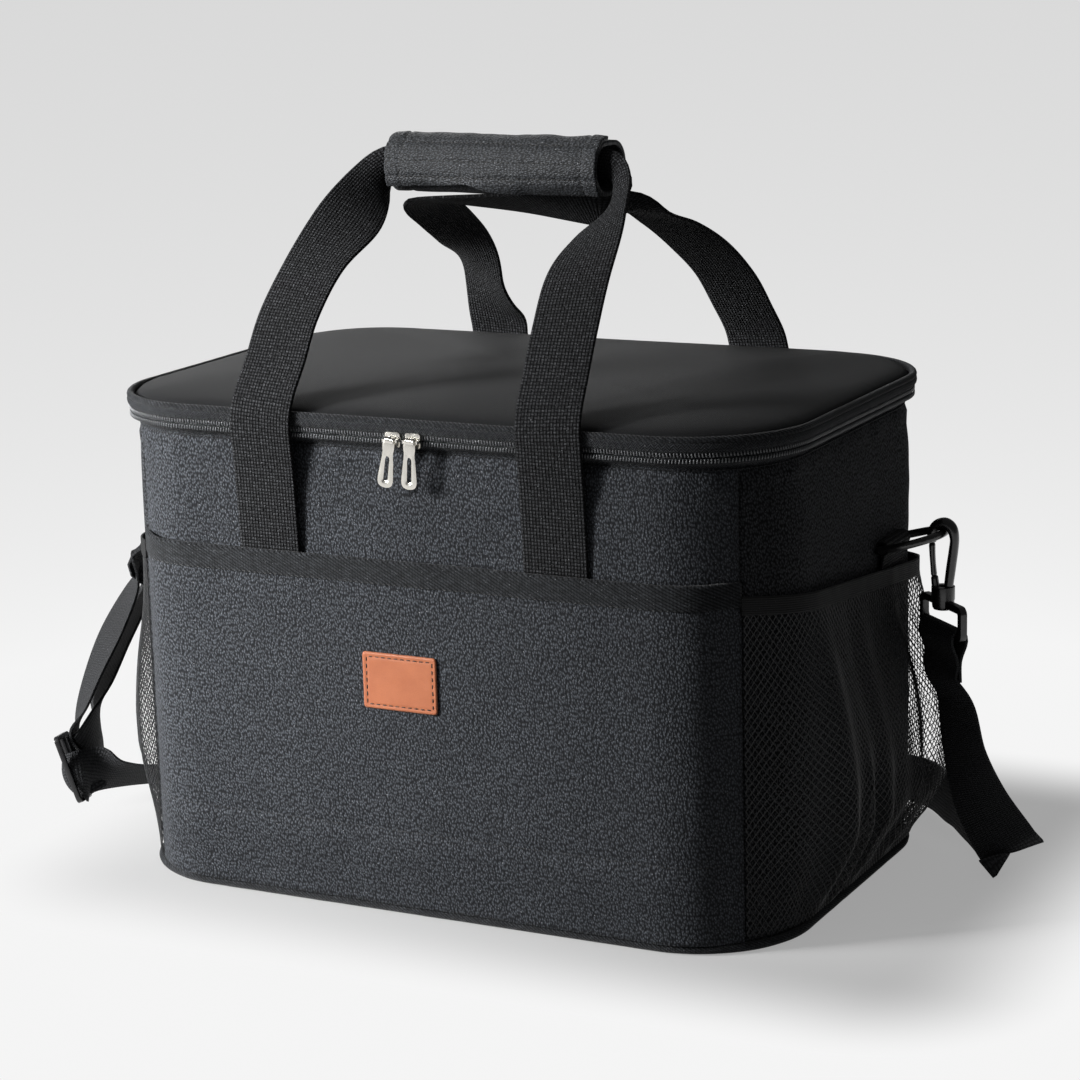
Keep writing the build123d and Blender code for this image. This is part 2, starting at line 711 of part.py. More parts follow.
def strap():
    bar_drop = loop_bar * 1.5 + loop_inner_height - loop_top
    turn = math.radians(right_loop_turn)
    right_across = Vector(math.cos(turn), math.sin(turn), 0)
    right_out = Vector(-math.sin(turn), math.cos(turn), 0)
    lean = math.radians(left_hook_lean)
    down = Vector(-math.sin(lean), 0, -math.cos(lean))
    left_out = Vector(-math.cos(lean), 0, math.sin(lean))
    right_end = round_bar(ring_far_point(1) - Z * bar_drop, -Z, right_out, right_across)
    left_end = round_bar(ring_far_point(-1) + down * bar_drop, down, left_out, -Y)
    fall = [
        ((245, 48, 100), (0.78, -0.62, 0.05)), ((250, 49, 72), (0.8, -0.52, 0.25)),
        ((260, 50, 43), (0.76, -0.25, 0.58)), ((274.5, 50.5, 20), (0.67, -0.03, 0.74)),
        ((277.5, 50.8, 15.4), (0.655, 0, 0.756)), ((274.5, 54, 15.4), (0.64, -0.02, 0.76)),
        ((258, 72, 16.6), (0.46, -0.2, 0.86)), ((236, 97, 17.4), (0.3, -0.35, 0.87)),
        ((215.5, 121, 17.6), (0.25, -0.42, 0.87)), ((186, 148, 17.7), (0.2, -0.42, 0.88)),
        ((130, 163, 17.4), (0.05, -0.5, 0.86)), ((60, 167, 15.9), (0, -0.62, 0.78)),
        ((-20, 168, 14.2), (0, -0.72, 0.69)), ((-100, 168, 12.2), (0, -0.82, 0.57)),
        ((-160, 163, 10.2), (0.1, -0.88, 0.45)), ((-204, 138, 9.6), (0.6, -0.68, 0.42)),
        ((-231, 100, 10.2), (0.86, -0.2, 0.46)), ((-237, 60, 10.8), (0.86, 0, 0.5)),
        ((-243, 28, 11.4), (0.75, -0.4, 0.53)), ((-260, 6, 11.8), (0.45, -0.7, 0.55)),
        ((-281, -12, 13.2), (0.25, -0.75, 0.61)), ((-293, -26, 16.4), (0, -0.62, 0.78)),
    ]
    lower = [through_adjuster(*at) for at in ((-8.2, -5.5), (-7.2, -2.5), (-6.2, 2.0), (-3, 3.6), (3, 3.6), (6.2, 2.0),
                                             (7.2, -2.5), (8.6, -4.6))]
    rise = [
        ((-312.5, -20, 33), (-0.1, -0.5, 0.86)), ((-315, -10, 51), (0.03, -0.75, 0.65)),
        ((-315.5, 5, 70), (0.1, -0.88, 0.47)), ((-313.5, 25, 99), (0.14, -0.95, 0.3)),
        ((-309.5, 42, 123), (0.1, -0.98, 0.12)),
    ]
    back = [
        ((-299.5, 47, 126), (0.1, -0.98, 0.12)), ((-304.5, 38, 106), (0.14, -0.95, 0.3)),
        ((-308.5, 22, 82), (0.1, -0.88, 0.47)), ((-310, 5, 58), (0.03, -0.75, 0.65)),
        ((-308.5, -8, 40), (-0.1, -0.5, 0.86)),
    ]
    sewn = [through_adjuster(*at) for at in ((6.5, -9.5), (2.5, -6.5), (0, -2.8))]
    route = right_end + loose(fall) + lower + loose(rise) + left_end + loose(back) + sewn
    save("shoulder_strap", ribbon([(p, a, strap_width, strap_thickness) for p, a in route]))
    length = sum((b[0] - a[0]).length for a, b in zip(route, route[1:]))
    print(f"shoulder strap webbing {length:.0f} mm")


def loose(points):
    """Stations of the loose webbing, moved out with the walls that they lie along."""
    out = half_width - route_half_width
    behind = half_depth - route_half_depth
    corner = (route_corner_radius - corner_radius) * (1 - math.sqrt(0.5))
    stations = []
    for (x, y, z), across in points:
        side = max(-1, min(1, x / route_half_width))
        back = max(0, min(1, (y - ring_y) / (route_half_depth - ring_y)))
        x = x + side * (out + corner * back)
        y = y + back * (behind + corner * abs(side))
        stations.append((Vector(x, y, z), Vector(*across)))
    return stations


def adjuster():
    normal = adjuster_along.cross(adjuster_across)
    plane = Plane(origin=adjuster_centre - normal * (adjuster_thickness / 2), x_dir=adjuster_along, z_dir=normal)
    plate = extrude(plane * RectangleRounded(adjuster_length, adjuster_depth, 4.0), amount=adjuster_thickness)
    reach = adjuster_centre_bar / 2 + adjuster_slot / 2
    for sign in (-1, 1):
        slot = plane * Pos(0, sign * reach) * RectangleRounded(strap_width + 2 * strap_pair_gap, adjuster_slot, 1.5)
        plate = plate - extrude(slot, amount=adjuster_thickness)
    save("strap_adjuster", plate)


for make in (walls, base, tub_lining, zip_tapes, hinge_strip, lid, front_pocket, label, side_pockets, handle_ends,
             handles, grip, zip_hardware, side_hardware, strap, adjuster):
    make()
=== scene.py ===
import math
import bpy
from mathutils import Matrix, Vector, noise


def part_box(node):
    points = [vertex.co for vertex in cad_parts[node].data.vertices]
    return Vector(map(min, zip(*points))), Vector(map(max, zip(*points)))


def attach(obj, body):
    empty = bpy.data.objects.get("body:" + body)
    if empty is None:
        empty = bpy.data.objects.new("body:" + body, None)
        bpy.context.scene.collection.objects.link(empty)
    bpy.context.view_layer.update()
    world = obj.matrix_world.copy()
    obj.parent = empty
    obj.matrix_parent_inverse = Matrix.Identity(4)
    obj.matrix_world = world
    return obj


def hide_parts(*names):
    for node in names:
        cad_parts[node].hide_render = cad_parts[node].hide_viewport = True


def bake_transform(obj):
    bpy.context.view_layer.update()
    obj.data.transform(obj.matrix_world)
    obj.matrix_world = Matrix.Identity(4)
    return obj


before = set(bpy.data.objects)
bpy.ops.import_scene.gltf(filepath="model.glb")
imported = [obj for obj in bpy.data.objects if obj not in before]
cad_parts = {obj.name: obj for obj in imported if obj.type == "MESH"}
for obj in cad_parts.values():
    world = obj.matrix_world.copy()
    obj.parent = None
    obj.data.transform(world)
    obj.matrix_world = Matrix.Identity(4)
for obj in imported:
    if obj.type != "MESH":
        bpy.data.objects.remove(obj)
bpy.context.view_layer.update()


# Studio ----------------------------------------------------------------------
# A seamless pale floor, a soft box with a grid on the left, a small one on the
# handle, a weak one behind the lid, and an even white room.

view_settings = bpy.context.scene.view_settings
view_settings.view_transform = "Standard"


def node(tree, kind, sockets=None, **settings):
    """Adds a shader node: settings are its own, sockets take a value or another node's output."""
    made = tree.nodes.new(kind)
    for key, value in settings.items():
        setattr(made, key, value)
    for key, value in (sockets or {}).items():
        if isinstance(value, bpy.types.NodeSocket):
            tree.links.new(value, made.inputs[key])
        else:
            made.inputs[key].default_value = value
    return made


def added(name, data):
    made = bpy.data.objects.new(name, data)
    bpy.context.scene.collection.objects.link(made)
    return made


def sums(tree, operation, *values):
    return node(tree, "ShaderNodeMath", dict(enumerate(values)), operation=operation).outputs[0]


def vectors(tree, operation, *values, output=0):
    return node(tree, "ShaderNodeVectorMath", dict(enumerate(values)), operation=operation).outputs[output]


def material(name):
    """An empty material and its tree, with the output node waiting for a shader."""
    made = bpy.data.materials.new(name)
    made.use_nodes = True
    made.node_tree.nodes.clear()
    return made, made.node_tree


def wear(piece, finish):
    piece.data.materials.clear()
    piece.data.materials.append(finish)


floor_finish, tree = material("studio_floor")
spot = node(tree, "ShaderNodeTexCoord").outputs["Object"]
reach = vectors(tree, "LENGTH", spot, output="Value")
# The floor's glow for camera rays is brightest round the bag and fades with distance like a lamp's falloff: a painted
# pool of light.
painted_light_falloff = sums(tree, "DIVIDE", 0.2, sums(tree, "ADD", reach, 0.3))
level = sums(tree, "MINIMUM", sums(tree, "ADD", painted_light_falloff, 0.68), 0.91)
painted_pool_glow = node(tree, "ShaderNodeEmission", {"Color": level, "Strength": 1.0})
shadow_centre, shadow_half = (0.04, 0.03, 0), (0.22, 0.15, 0)
moved = vectors(tree, "ABSOLUTE", vectors(tree, "SUBTRACT", spot, shadow_centre))
moved = vectors(tree, "MAXIMUM", vectors(tree, "SUBTRACT", moved, shadow_half), (0, 0, 0))
clear = vectors(tree, "LENGTH", moved, output="Value")
far = node(tree, "ShaderNodeMapRange", {"Value": clear, "From Min": 0.005, "From Max": 0.11, "To Min": 0.36},
           interpolation_type="SMOOTHSTEP").outputs[0]
sight = node(tree, "ShaderNodeLightPath")
clean = sums(tree, "MAXIMUM", sight.outputs["Is Camera Ray"], sight.outputs["Is Glossy Ray"])
tone = node(tree, "ShaderNodeMix", {0: clean}, data_type="RGBA")
tone.inputs[6].default_value = (0.30, 0.301, 0.302, 1)
tone.inputs[7].default_value = (0.60, 0.60, 0.60, 1)
paint = node(tree, "ShaderNodeBsdfDiffuse", {"Color": tone.outputs[2], "Roughness": 0.6})
share = sums(tree, "MULTIPLY", far, clean)
blend = node(tree, "ShaderNodeMixShader", {0: share, 1: paint.outputs[0], 2: painted_pool_glow.outputs[0]})
node(tree, "ShaderNodeOutputMaterial", {"Surface": blend.outputs[0]})
bpy.ops.object.select_all(action="DESELECT")
bpy.ops.mesh.primitive_plane_add(size=60, location=(0, 0, -0.0003))
floor = bpy.context.object
floor.name = "studio_floor"
wear(floor, floor_finish)

world = bpy.data.worlds.new("studio_room")
bpy.context.scene.world = world
world.use_nodes = True
world.node_tree.nodes.clear()
sight = node(world.node_tree, "ShaderNodeLightPath")
room = node(world.node_tree, "ShaderNodeBackground", {"Color": (1, 1, 1, 1), "Strength": 0.10})
backdrop = node(world.node_tree, "ShaderNodeBackground", {"Color": (0.72, 0.721, 0.722, 1), "Strength": 1.0})
seen = node(world.node_tree, "ShaderNodeMixShader",
            {0: sight.outputs["Is Camera Ray"], 1: room.outputs[0], 2: backdrop.outputs[0]})
node(world.node_tree, "ShaderNodeOutputWorld", {"Surface": seen.outputs[0]})


def soft_box(name, place, target, size, power, spread):
    light = bpy.data.lights.new(name, "AREA")
    light.energy = power
    light.size = size
    light.spread = math.radians(spread)
    lamp = added(name, light)
    lamp.location = place
    lamp.rotation_euler = (Vector(target) - Vector(place)).to_track_quat("-Z", "Y").to_euler()


soft_box("key_light", (-0.95, -0.75, 0.50), (-0.27, -0.13, 0.18), 0.5, 2.6, 33)
soft_box("handle_light", (-0.6, -0.9, 1.15), (-0.02, -0.02, 0.41), 0.25, 0.22, 20)
soft_box("rear_light", (-0.95, 1.15, 0.85), (-0.12, 0, 0.28), 0.7, 1.1, 80)

lens = bpy.data.cameras.new("camera")
lens.lens = 100.8
lens.sensor_width = 36.0
lens.clip_start = 0.05
camera = added("camera", lens)
bpy.context.scene.camera = camera
camera.matrix_world = (Matrix.Translation((0.785, -1.5163, 0.5762))
                       @ Matrix.Rotation(math.radians(27.1), 4, "Z")
                       @ Matrix.Rotation(math.radians(90 - 12.9), 4, "X")
                       @ Matrix.Rotation(math.radians(-1.5), 4, "Z"))


# Outer walls -----------------------------------------------------------------
# Four panels of pebbled polyester cloth, sewn together down the middle of each
# rounded corner. Foam behind keeps them upright, but the cloth stays soft: it is
# drawn in at the seams, under the zip and at the foot.

half_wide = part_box("side_panel_right")[1].x
half_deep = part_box("back_panel")[1].y
body_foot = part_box("front_panel")[0].z
body_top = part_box("front_panel")[1].z
wall_top = body_top + 0.0022
corner_radius = 0.062
cloth_wall = 0.0012


def track(half_long, half_short, radius):
    """A walk round a rounded rectangle, anticlockwise from the middle of its near side.

    Gives the function from distance to (x, y, normal x, normal y), and the length.
    """
    run, step = half_long - radius, half_short - radius
    turn = math.pi / 2 * radius
    line = [((0, -half_short), (1, 0), run), ((half_long, -step), (0, 1), 2 * step),
            ((run, half_short), (-1, 0), 2 * run), ((-half_long, step), (0, -1), 2 * step),
            ((-run, -half_short), (1, 0), run)]
    hub = [(run, -step), (run, step), (-run, step), (-run, -step)]
    total = 4 * (run + step + turn)

    def walk(distance):
        left = distance % total
        for index in range(5):
            start, way, length = line[index]
            if left <= length or index == 4:
                return start[0] + way[0] * left, start[1] + way[1] * left, way[1], -way[0]
            left -= length
            if left <= turn:
                angle = left / radius + math.pi / 2 * (index - 1)
                across, up = math.cos(angle), math.sin(angle)
                return hub[index][0] + radius * across, hub[index][1] + radius * up, across, up
            left -= turn

    return walk, total


plan, plan_length = track(half_wide, half_deep, corner_radius)
seam_front = half_wide - corner_radius + corner_radius * math.pi / 4
seam_back = plan_length / 2 - seam_front
seams = [seam_front, seam_back, plan_length - seam_back, plan_length - seam_front]


def around(distance, offset, height):
    x, y, out_x, out_y = plan(distance)
    return Vector((x + out_x * offset, y + out_y * offset, height))


def ease(value, low, high):
    """0 below low, 1 above high, smooth between."""
    share = max(0.0, min(1.0, (value - low) / (high - low)))
    return share * share * (3 - 2 * share)


def hump(value, centre, width):
    return math.exp(-((value - centre) / width) ** 2)


def ripple(x, y, size, seed=0.0):
    return noise.noise(Vector((x / size, y / size, seed)))


def pick(piece):
    bpy.ops.object.select_all(action="DESELECT")
    bpy.context.view_layer.objects.active = piece
    piece.select_set(True)


def smooth(piece):
    for polygon in piece.data.polygons:
        polygon.use_smooth = True


def cloth(name, columns, rows, cut, place, wall=0.0):
    """A cut of cloth: a flat grid with its size in metres as UV, laid into place point by point."""
    bpy.ops.object.select_all(action="DESELECT")
    bpy.ops.mesh.primitive_grid_add(x_subdivisions=columns, y_subdivisions=rows, size=1)
    piece = bpy.context.object
    piece.name = name
    mesh = piece.data
    share = [(v.co.x + 0.5, v.co.y + 0.5) for v in mesh.vertices]
    for loop, point in zip(mesh.loops, mesh.uv_layers.active.data):
        across, along = share[loop.vertex_index]
        point.uv = (across * cut[0], along * cut[1])
    for vertex, (across, along) in zip(mesh.vertices, share):
        vertex.co = place(across, along)
    if wall:
        apply(piece, "SOLIDIFY", thickness=wall, offset=-1.0)
    smooth(piece)
    return piece


def apply(piece, kind, **settings):
    """Adds a modifier and applies it."""
    pick(piece)
    made = piece.modifiers.new(kind.lower(), kind)
    for key, value in settings.items():
        setattr(made, key, value)
    bpy.ops.object.modifier_apply(modifier=made.name)


def finish(piece, surface, slot, body, *nodes):
    wear(piece, surface)
    if nodes:
        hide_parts(*nodes)
    if body:
        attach(piece, body)
    return piece


def panel(name, columns, rows, cut, place, wall, *fixing):
    """A flat cut of cloth sewn in at its edges; fixing is what finish takes after the piece."""
    piece = cloth(name, columns, rows, cut, place, wall)
    finish(piece, *fixing)


def group(name, inputs, outputs):
    """A shader node group with named sockets, and its inputs and outputs."""
    tree = bpy.data.node_groups.new(name, "ShaderNodeTree")
    for socket, kind in inputs.items():
        tree.interface.new_socket(name=socket, in_out="INPUT", socket_type=kind)
    for socket in outputs:
        tree.interface.new_socket(name=socket, in_out="OUTPUT", socket_type="NodeSocketFloat")
    return tree, tree.nodes.new("NodeGroupInput").outputs, tree.nodes.new("NodeGroupOutput").inputs


def spread(tree, value, low, high, start=0.0, end=1.0):
    """Stretches low..high to start..end."""
    sockets = {"Value": value, "From Min": low, "From Max": high, "To Min": start, "To Max": end}
    return node(tree, "ShaderNodeMapRange", sockets).outputs[0]


def cloudy(tree, place, scale, detail):
    return node(tree, "ShaderNodeTexNoise", {"Vector": place, "Scale": scale, "Detail": detail}).outputs["Fac"]


def pitched(tree, place, wide, high):
    """The cloth's own place counted in repeats of the pattern, as x and y."""
    size = node(tree, "ShaderNodeCombineXYZ", {"X": wide, "Y": high, "Z": 1.0})
    count = node(tree, "ShaderNodeVectorMath", {0: place, 1: size.outputs[0]}, operation="DIVIDE")
    parts = node(tree, "ShaderNodeSeparateXYZ", {0: count.outputs[0]})
    return count.outputs[0], parts.outputs["X"], parts.outputs["Y"]


FLOAT, VECTOR = "NodeSocketFloat", "NodeSocketVector"


def weave(name):
    """A group for one thread pattern: tree, outputs, and its place counted in repeats."""
    tree, given, result = group(name, {"Place": VECTOR, "Wide": FLOAT, "High": FLOAT}, ("Height", "Tone_with_painted_shade"))
    return tree, result, *pitched(tree, given["Place"], given["Wide"], given["High"])


# Short slubs lying up and down, like grains of rice, each thread a little its own grey. Each slub is light at its crown
# and dark at its edges, following its height: painted shade between the slubs.
grain_cloth, result, place, across, along = weave("grain_cloth")
lean = sums(grain_cloth, "MULTIPLY", along, 0.22)
bent = node(grain_cloth, "ShaderNodeCombineXYZ", {"X": sums(grain_cloth, "ADD", across, lean), "Y": along})
slub = node(grain_cloth, "ShaderNodeTexVoronoi", {"Vector": bent.outputs[0], "Scale": 1.0, "Randomness": 0.85},
            voronoi_dimensions="2D")
raised = spread(grain_cloth, slub.outputs["Distance"], 0.08, 0.62, 1.0, 0.0)
tint = node(grain_cloth, "ShaderNodeSeparateColor", {0: slub.outputs["Color"]})
slub_tone_painted_shade = sums(grain_cloth, "MULTIPLY", raised, spread(grain_cloth, tint.outputs[0], 0.0, 1.0, 0.55, 1.0))
grain_cloth.links.new(raised, result["Height"])
grain_cloth.links.new(slub_tone_painted_shade, result["Tone_with_painted_shade"])

# Slow mottling of a dyed cloth, and the odd bright lint fibre.
heather, given, result = group("heather", {"Place": VECTOR}, ("Mottle", "Lint"))
slow = node(heather, "ShaderNodeTexNoise", {"Vector": given["Place"], "Scale": 22.0, "Detail": 4.0, "Roughness": 0.65})
fine = cloudy(heather, given["Place"], 900.0, 2.0)
heather.links.new(spread(heather, slow.outputs["Fac"], 0.3, 0.7), result["Mottle"])
heather.links.new(spread(heather, fine, 0.66, 0.76), result["Lint"])


def blend_colour(tree, share, low, high):
    made = node(tree, "ShaderNodeMix", data_type="RGBA")
    for index, value in ((0, share), (6, low), (7, high)):
        if isinstance(value, bpy.types.NodeSocket):
            tree.links.new(value, made.inputs[index])
        else:
            made.inputs[index].default_value = value if index == 0 else (*value, 1)
    return made.outputs[2]


def cloth_finish(name, weave, sizes, dark, light, lint, relief, sheen=0.1, rough=0.8, mottle=0.3, crisp=1.0,
                 gloss_level=0.3):
    """A woven cloth: thread pattern from a weave group on the cloth's own UV, heathering and lint. Its colour follows
    the thread height, dark where the threads lie low: painted shade.
    """
    made, tree = material(name)
    spot = node(tree, "ShaderNodeUVMap").outputs[0]
    threads = node(tree, "ShaderNodeGroup", node_tree=weave)
    tree.links.new(spot, threads.inputs["Place"])
    threads.inputs["Wide"].default_value, threads.inputs["High"].default_value = sizes
    colour_map = node(tree, "ShaderNodeGroup", node_tree=heather)
    tree.links.new(spot, colour_map.inputs["Place"])
    slow = spread(tree, colour_map.outputs["Mottle"], 0, 1, 1 - mottle, 1.0)
    tone = sums(tree, "MULTIPLY", sums(tree, "POWER", threads.outputs["Tone_with_painted_shade"], crisp), slow)
    colour = blend_colour(tree, tone, dark, light)
    colour = blend_colour(tree, sums(tree, "MULTIPLY", colour_map.outputs["Lint"], lint), colour, (0.32, 0.33, 0.35))
    bump = node(tree, "ShaderNodeBump", {"Strength": 0.9, "Distance": relief, "Height": threads.outputs["Height"]})
    gloss = spread(tree, threads.outputs["Height"], 0, 1, min(1.0, rough + 0.1), rough - 0.12)
    shader = node(tree, "ShaderNodeBsdfPrincipled", {
        "Base Color": colour, "Roughness": gloss, "Normal": bump.outputs[0],
        "Sheen Weight": sheen, "Sheen Roughness": 0.45, "Specular IOR Level": gloss_level})
    node(tree, "ShaderNodeOutputMaterial", {"Surface": shader.outputs[0]})
    return made


shell_cloth = cloth_finish("shell_cloth", grain_cloth, (0.00115, 0.0020),
                           (0.0090, 0.0100, 0.0122), (0.135, 0.149, 0.172), 0.8, 0.00036,
                           sheen=0.05, rough=0.7, crisp=1.7, mottle=0.15, gloss_level=0.2)
side_cloth = cloth_finish("side_cloth", grain_cloth, (0.00115, 0.0020),
                          (0.0085, 0.0088, 0.0096), (0.130, 0.137, 0.150), 0.6, 0.0003,
                          sheen=0.03, rough=0.8, crisp=1.4, gloss_level=0.12)


def nearest_seam(distance):
    return min(abs((distance - s + plan_length / 2) % plan_length - plan_length / 2) for s in seams)


def wall_offset(distance, height, softness):
    """How far the wall's cloth stands off the plan outline: full in the middle, drawn in at its edges."""
    seam = nearest_seam(distance)
    offset = 0.0005 * hump(seam, 0.0045, 0.0022) - 0.0014 * hump(seam, 0, 0.0024)
    rim = ease(height, wall_top - 0.014, wall_top)
    offset -= 0.0011 * rim ** 4
    offset += 0.0013 * rim * (1 - rim) * 4 * (0.55 + ripple(distance, 0, 0.0085, 3.1) + ripple(distance, 0, 0.017, 5.2))
    foot = ease(0.018 - height, 0.0, 0.013)
    offset -= 0.0014 * foot * foot
    middle = ease(seam, 0.0, 0.04) * ease(height, body_foot, 0.05) * ease(wall_top - height, 0.0, 0.03)
    offset += softness * middle * (1.8 + ripple(distance, height, 0.075, 7.7))
    offset += 0.4 * softness * middle * ripple(distance, height * 1.6, 0.028, 2.2)
    return max(offset, -0.0015)


foot_tuck = 0.0020
wall_mesh = (0.0024, 0.0035)


def wall_panel(name, start, end, softness, surface, node_name):
    """One wall's cloth, its foot tucked down behind the piping cord it is sewn to."""
    length = end - start
    height = wall_top - body_foot + foot_tuck

    def place(across, along):
        distance = start + across * length
        level = body_foot - foot_tuck + along * height
        return around(distance, wall_offset(distance, level, softness), level)

    panel(name, int(length / wall_mesh[0]), int(height / wall_mesh[1]), (length, height), place, cloth_wall,
          surface, "shell_fabric", "bag", node_name)


walls = {
    "front": (-seam_front, seam_front, "front_panel", "front_foam"),
    "right": (seam_front, seam_back, "side_panel_right", "side_foam_right"),
    "back": (seam_back, plan_length - seam_back, "back_panel", "back_foam"),
    "left": (plan_length - seam_back, plan_length - seam_front, "side_panel_left", "side_foam_left"),
}
for side, (start, end, panel_name, _) in walls.items():
    softness, surface = (0.0014, side_cloth) if side in ("left", "right") else (0.0013, shell_cloth)
    wall_panel(f"{side}_wall_cloth", start, end, softness, surface, panel_name)


# Base ------------------------------------------------------------------------
# A cloth bottom over a stiff board and a sheet of foam, closed all round by a
# piping cord in ribbed twill that the walls are sewn into.

def ribs(tree, value, per_repeat=1):
    """Round-topped ribs, so many to a repeat."""
    return sums(tree, "ABSOLUTE", sums(tree, "SINE", sums(tree, "MULTIPLY", value, math.pi * per_repeat)))


def mixed(tree, first, first_share, second, second_share):
    return sums(tree, "ADD", sums(tree, "MULTIPLY", first, first_share), sums(tree, "MULTIPLY", second, second_share))


def woven(tree, result, place, height, speck_scale, darkest):
    """Puts out a weave's height, and as its tone the same height, so that the grooves between threads are darker as
    painted shade, with some threads darker in their own dye.
    """
    shade = spread(tree, cloudy(tree, place, speck_scale, 2.0), 0.3, 0.7, darkest, 1.0)
    tree.links.new(height, result["Height"])
    tree.links.new(sums(tree, "MULTIPLY", height, shade), result["Tone_with_painted_shade"])


twill, result, place, across, along = weave("twill")
slant = sums(twill, "ADD", across, along)
rib = mixed(twill, ribs(twill, slant), 0.75, ribs(twill, across, 2), 0.25)
woven(twill, result, place, rib, 0.8, 0.4)

piping_cloth = cloth_finish("piping_cloth", twill, (0.0026, 0.0018),
                            (0.005, 0.0054, 0.006), (0.075, 0.080, 0.089), 0.4, 0.0005, crisp=1.8, gloss_level=0.15)
base_cloth = cloth_finish("base_cloth", twill, (0.0012, 0.0012),
                          (0.010, 0.010, 0.011), (0.04, 0.042, 0.045), 0.3, 0.0002)

round_step = 0.0035
base_low, base_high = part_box("base_panel")
piping_low, piping_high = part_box("base_piping")


def cord_round(name, offset, height, radius, flatten, surface, slot, body, node_name):
    """A piped edge that runs all the way round the plan at an offset."""
    length = plan_length
    girth = 2 * math.pi * radius

    def place(across, along):
        angle = -2 * math.pi * along
        swell = 1 + 0.05 * ripple(across * length, along, 0.012, 5.0)
        out = radius * flatten * math.cos(angle) * swell
        return around(across * length, offset + out, height - radius * math.sin(angle) * swell)

    piece = cloth(name, int(length / round_step), 12, (length, girth), place)
    weld(piece)
    finish(piece, surface, slot, body, node_name)


def weld(piece):
    """Merges the edges that meet, and turns the faces outwards."""
    pick(piece)
    bpy.ops.object.mode_set(mode="EDIT")
    bpy.ops.mesh.select_all(action="SELECT")
    bpy.ops.mesh.remove_doubles(threshold=0.00001)
    bpy.ops.mesh.normals_make_consistent(inside=False)
    bpy.ops.object.mode_set(mode="OBJECT")


base_radius = (piping_high.z - piping_low.z) / 2
cord_round("base_piping_cord", piping_high.x - half_wide - base_radius, (piping_high.z + piping_low.z) / 2,
           base_radius, 0.95, piping_cloth, "piping", "bag", "base_piping")


def lay_flat(half_x, half_y, radius):
    """Maps a unit square onto a rounded rectangle, ring by ring."""
    walk, length = track(half_x, half_y, radius)
    first = half_x - radius + radius * math.pi / 4
    second = length / 2 - first
    marks = [-first, first, second, length - second, length - first]

    def place(across, along):
        a, b = 2 * across - 1, 2 * along - 1
        ring = max(abs(a), abs(b))
        if ring < 1e-6:
            return 0.0, 0.0
        if -b >= abs(a):
            side, share = 0, (a / ring + 1) / 2
        elif a >= abs(b):
            side, share = 1, (b / ring + 1) / 2
        elif b >= abs(a):
            side, share = 2, (1 - a / ring) / 2
        else:
            side, share = 3, (1 - b / ring) / 2
        x, y, _, _ = walk(marks[side] + share * (marks[side + 1] - marks[side]))
        return x * ring, y * ring

    return place


base_place = lay_flat(base_high.x, base_high.y, corner_radius - (half_wide - base_high.x))


def place(across, along):
    x, y = base_place(1 - across, along)
    return Vector((x, y, base_low.z + 0.0002 + 0.0003 * max(0.0, ripple(x, y, 0.03))))


panel("base_cloth_panel", 72, 56, (2 * base_high.x, 2 * base_high.y), place, 0.0009,
      base_cloth, "shell_fabric", "bag", "base_panel")


# Foam, board and linings -----------------------------------------------------
# Closed-cell foam stands behind each wall and in the lid, and a hard board lies
# in the base. A welded silver liner covers the inside and shows when it is open.


def solid_finish(name, colour, dark, rough, scale, relief, metal=0.0, coat=0.0):
    """An even material with its own fine texture on the piece's own place."""
    made, tree = material(name)
    spot = node(tree, "ShaderNodeTexCoord").outputs["Object"]
    grain = cloudy(tree, spot, scale, 4.0)
    slow = cloudy(tree, spot, scale * 0.08, 2.0)
    tone = blend_colour(tree, spread(tree, slow, 0.3, 0.7, 0.0, 0.5), colour, dark)
    bump = node(tree, "ShaderNodeBump", {"Strength": 0.5, "Distance": relief, "Height": grain})
    gloss = spread(tree, grain, 0.3, 0.7, max(0.03, rough - 0.06), rough + 0.06)
    shader = node(tree, "ShaderNodeBsdfPrincipled", {
        "Base Color": tone, "Roughness": gloss, "Metallic": metal, "Normal": bump.outputs[0],
        "Coat Weight": coat, "Coat Roughness": 0.12})
    node(tree, "ShaderNodeOutputMaterial", {"Surface": shader.outputs[0]})
    return made


foam_cells = solid_finish("foam_cells", (0.78, 0.79, 0.80), (0.66, 0.67, 0.68), 0.85, 900, 0.0003)
board_plastic = solid_finish("board_plastic", (0.05, 0.05, 0.052), (0.03, 0.03, 0.032), 0.6, 500, 0.0001)
liner_foil = solid_finish("liner_foil", (0.62, 0.63, 0.64), (0.50, 0.51, 0.52), 0.34, 110, 0.0011, metal=0.55)

wear(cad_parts["base_foam"], foam_cells)
foam_skin = 0.0024
foam_thick = 0.0036


def foam_sheet(name, start, end, node_name):
    """A foam sheet just inside a wall's cloth, a little short of the rim and of its corners."""
    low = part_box(node_name)[0].z + 0.001
    top = body_top - 0.001

    def place(across, along):
        return around(start + across * (end - start), -foam_skin, low + along * (top - low))

    piece = cloth(name, int((end - start) / 0.008), 12, (end - start, top - low), place, foam_thick)
    finish(piece, foam_cells, "foam", "bag", node_name)


foam_short = 0.002
for side, (start, end, _, foam_name) in walls.items():
    foam_sheet(f"{side}_wall_foam", start + foam_short, end - foam_short, foam_name)
lid_foam_low, lid_foam_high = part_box("lid_foam")[0].z + 0.0012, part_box("lid_piping")[0].z + 0.001


def place(across, along):
    return around(across * plan_length, -0.0014, lid_foam_low + along * (lid_foam_high - lid_foam_low))


lid_foam = cloth("lid_edge_foam", 220, 6, (plan_length, 0.013), place, 0.0030)
weld(lid_foam)
finish(lid_foam, foam_cells, "foam", "lid", "lid_foam")
wear(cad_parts["base_board"], board_plastic)
wear(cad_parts["inner_liner"], liner_foil)

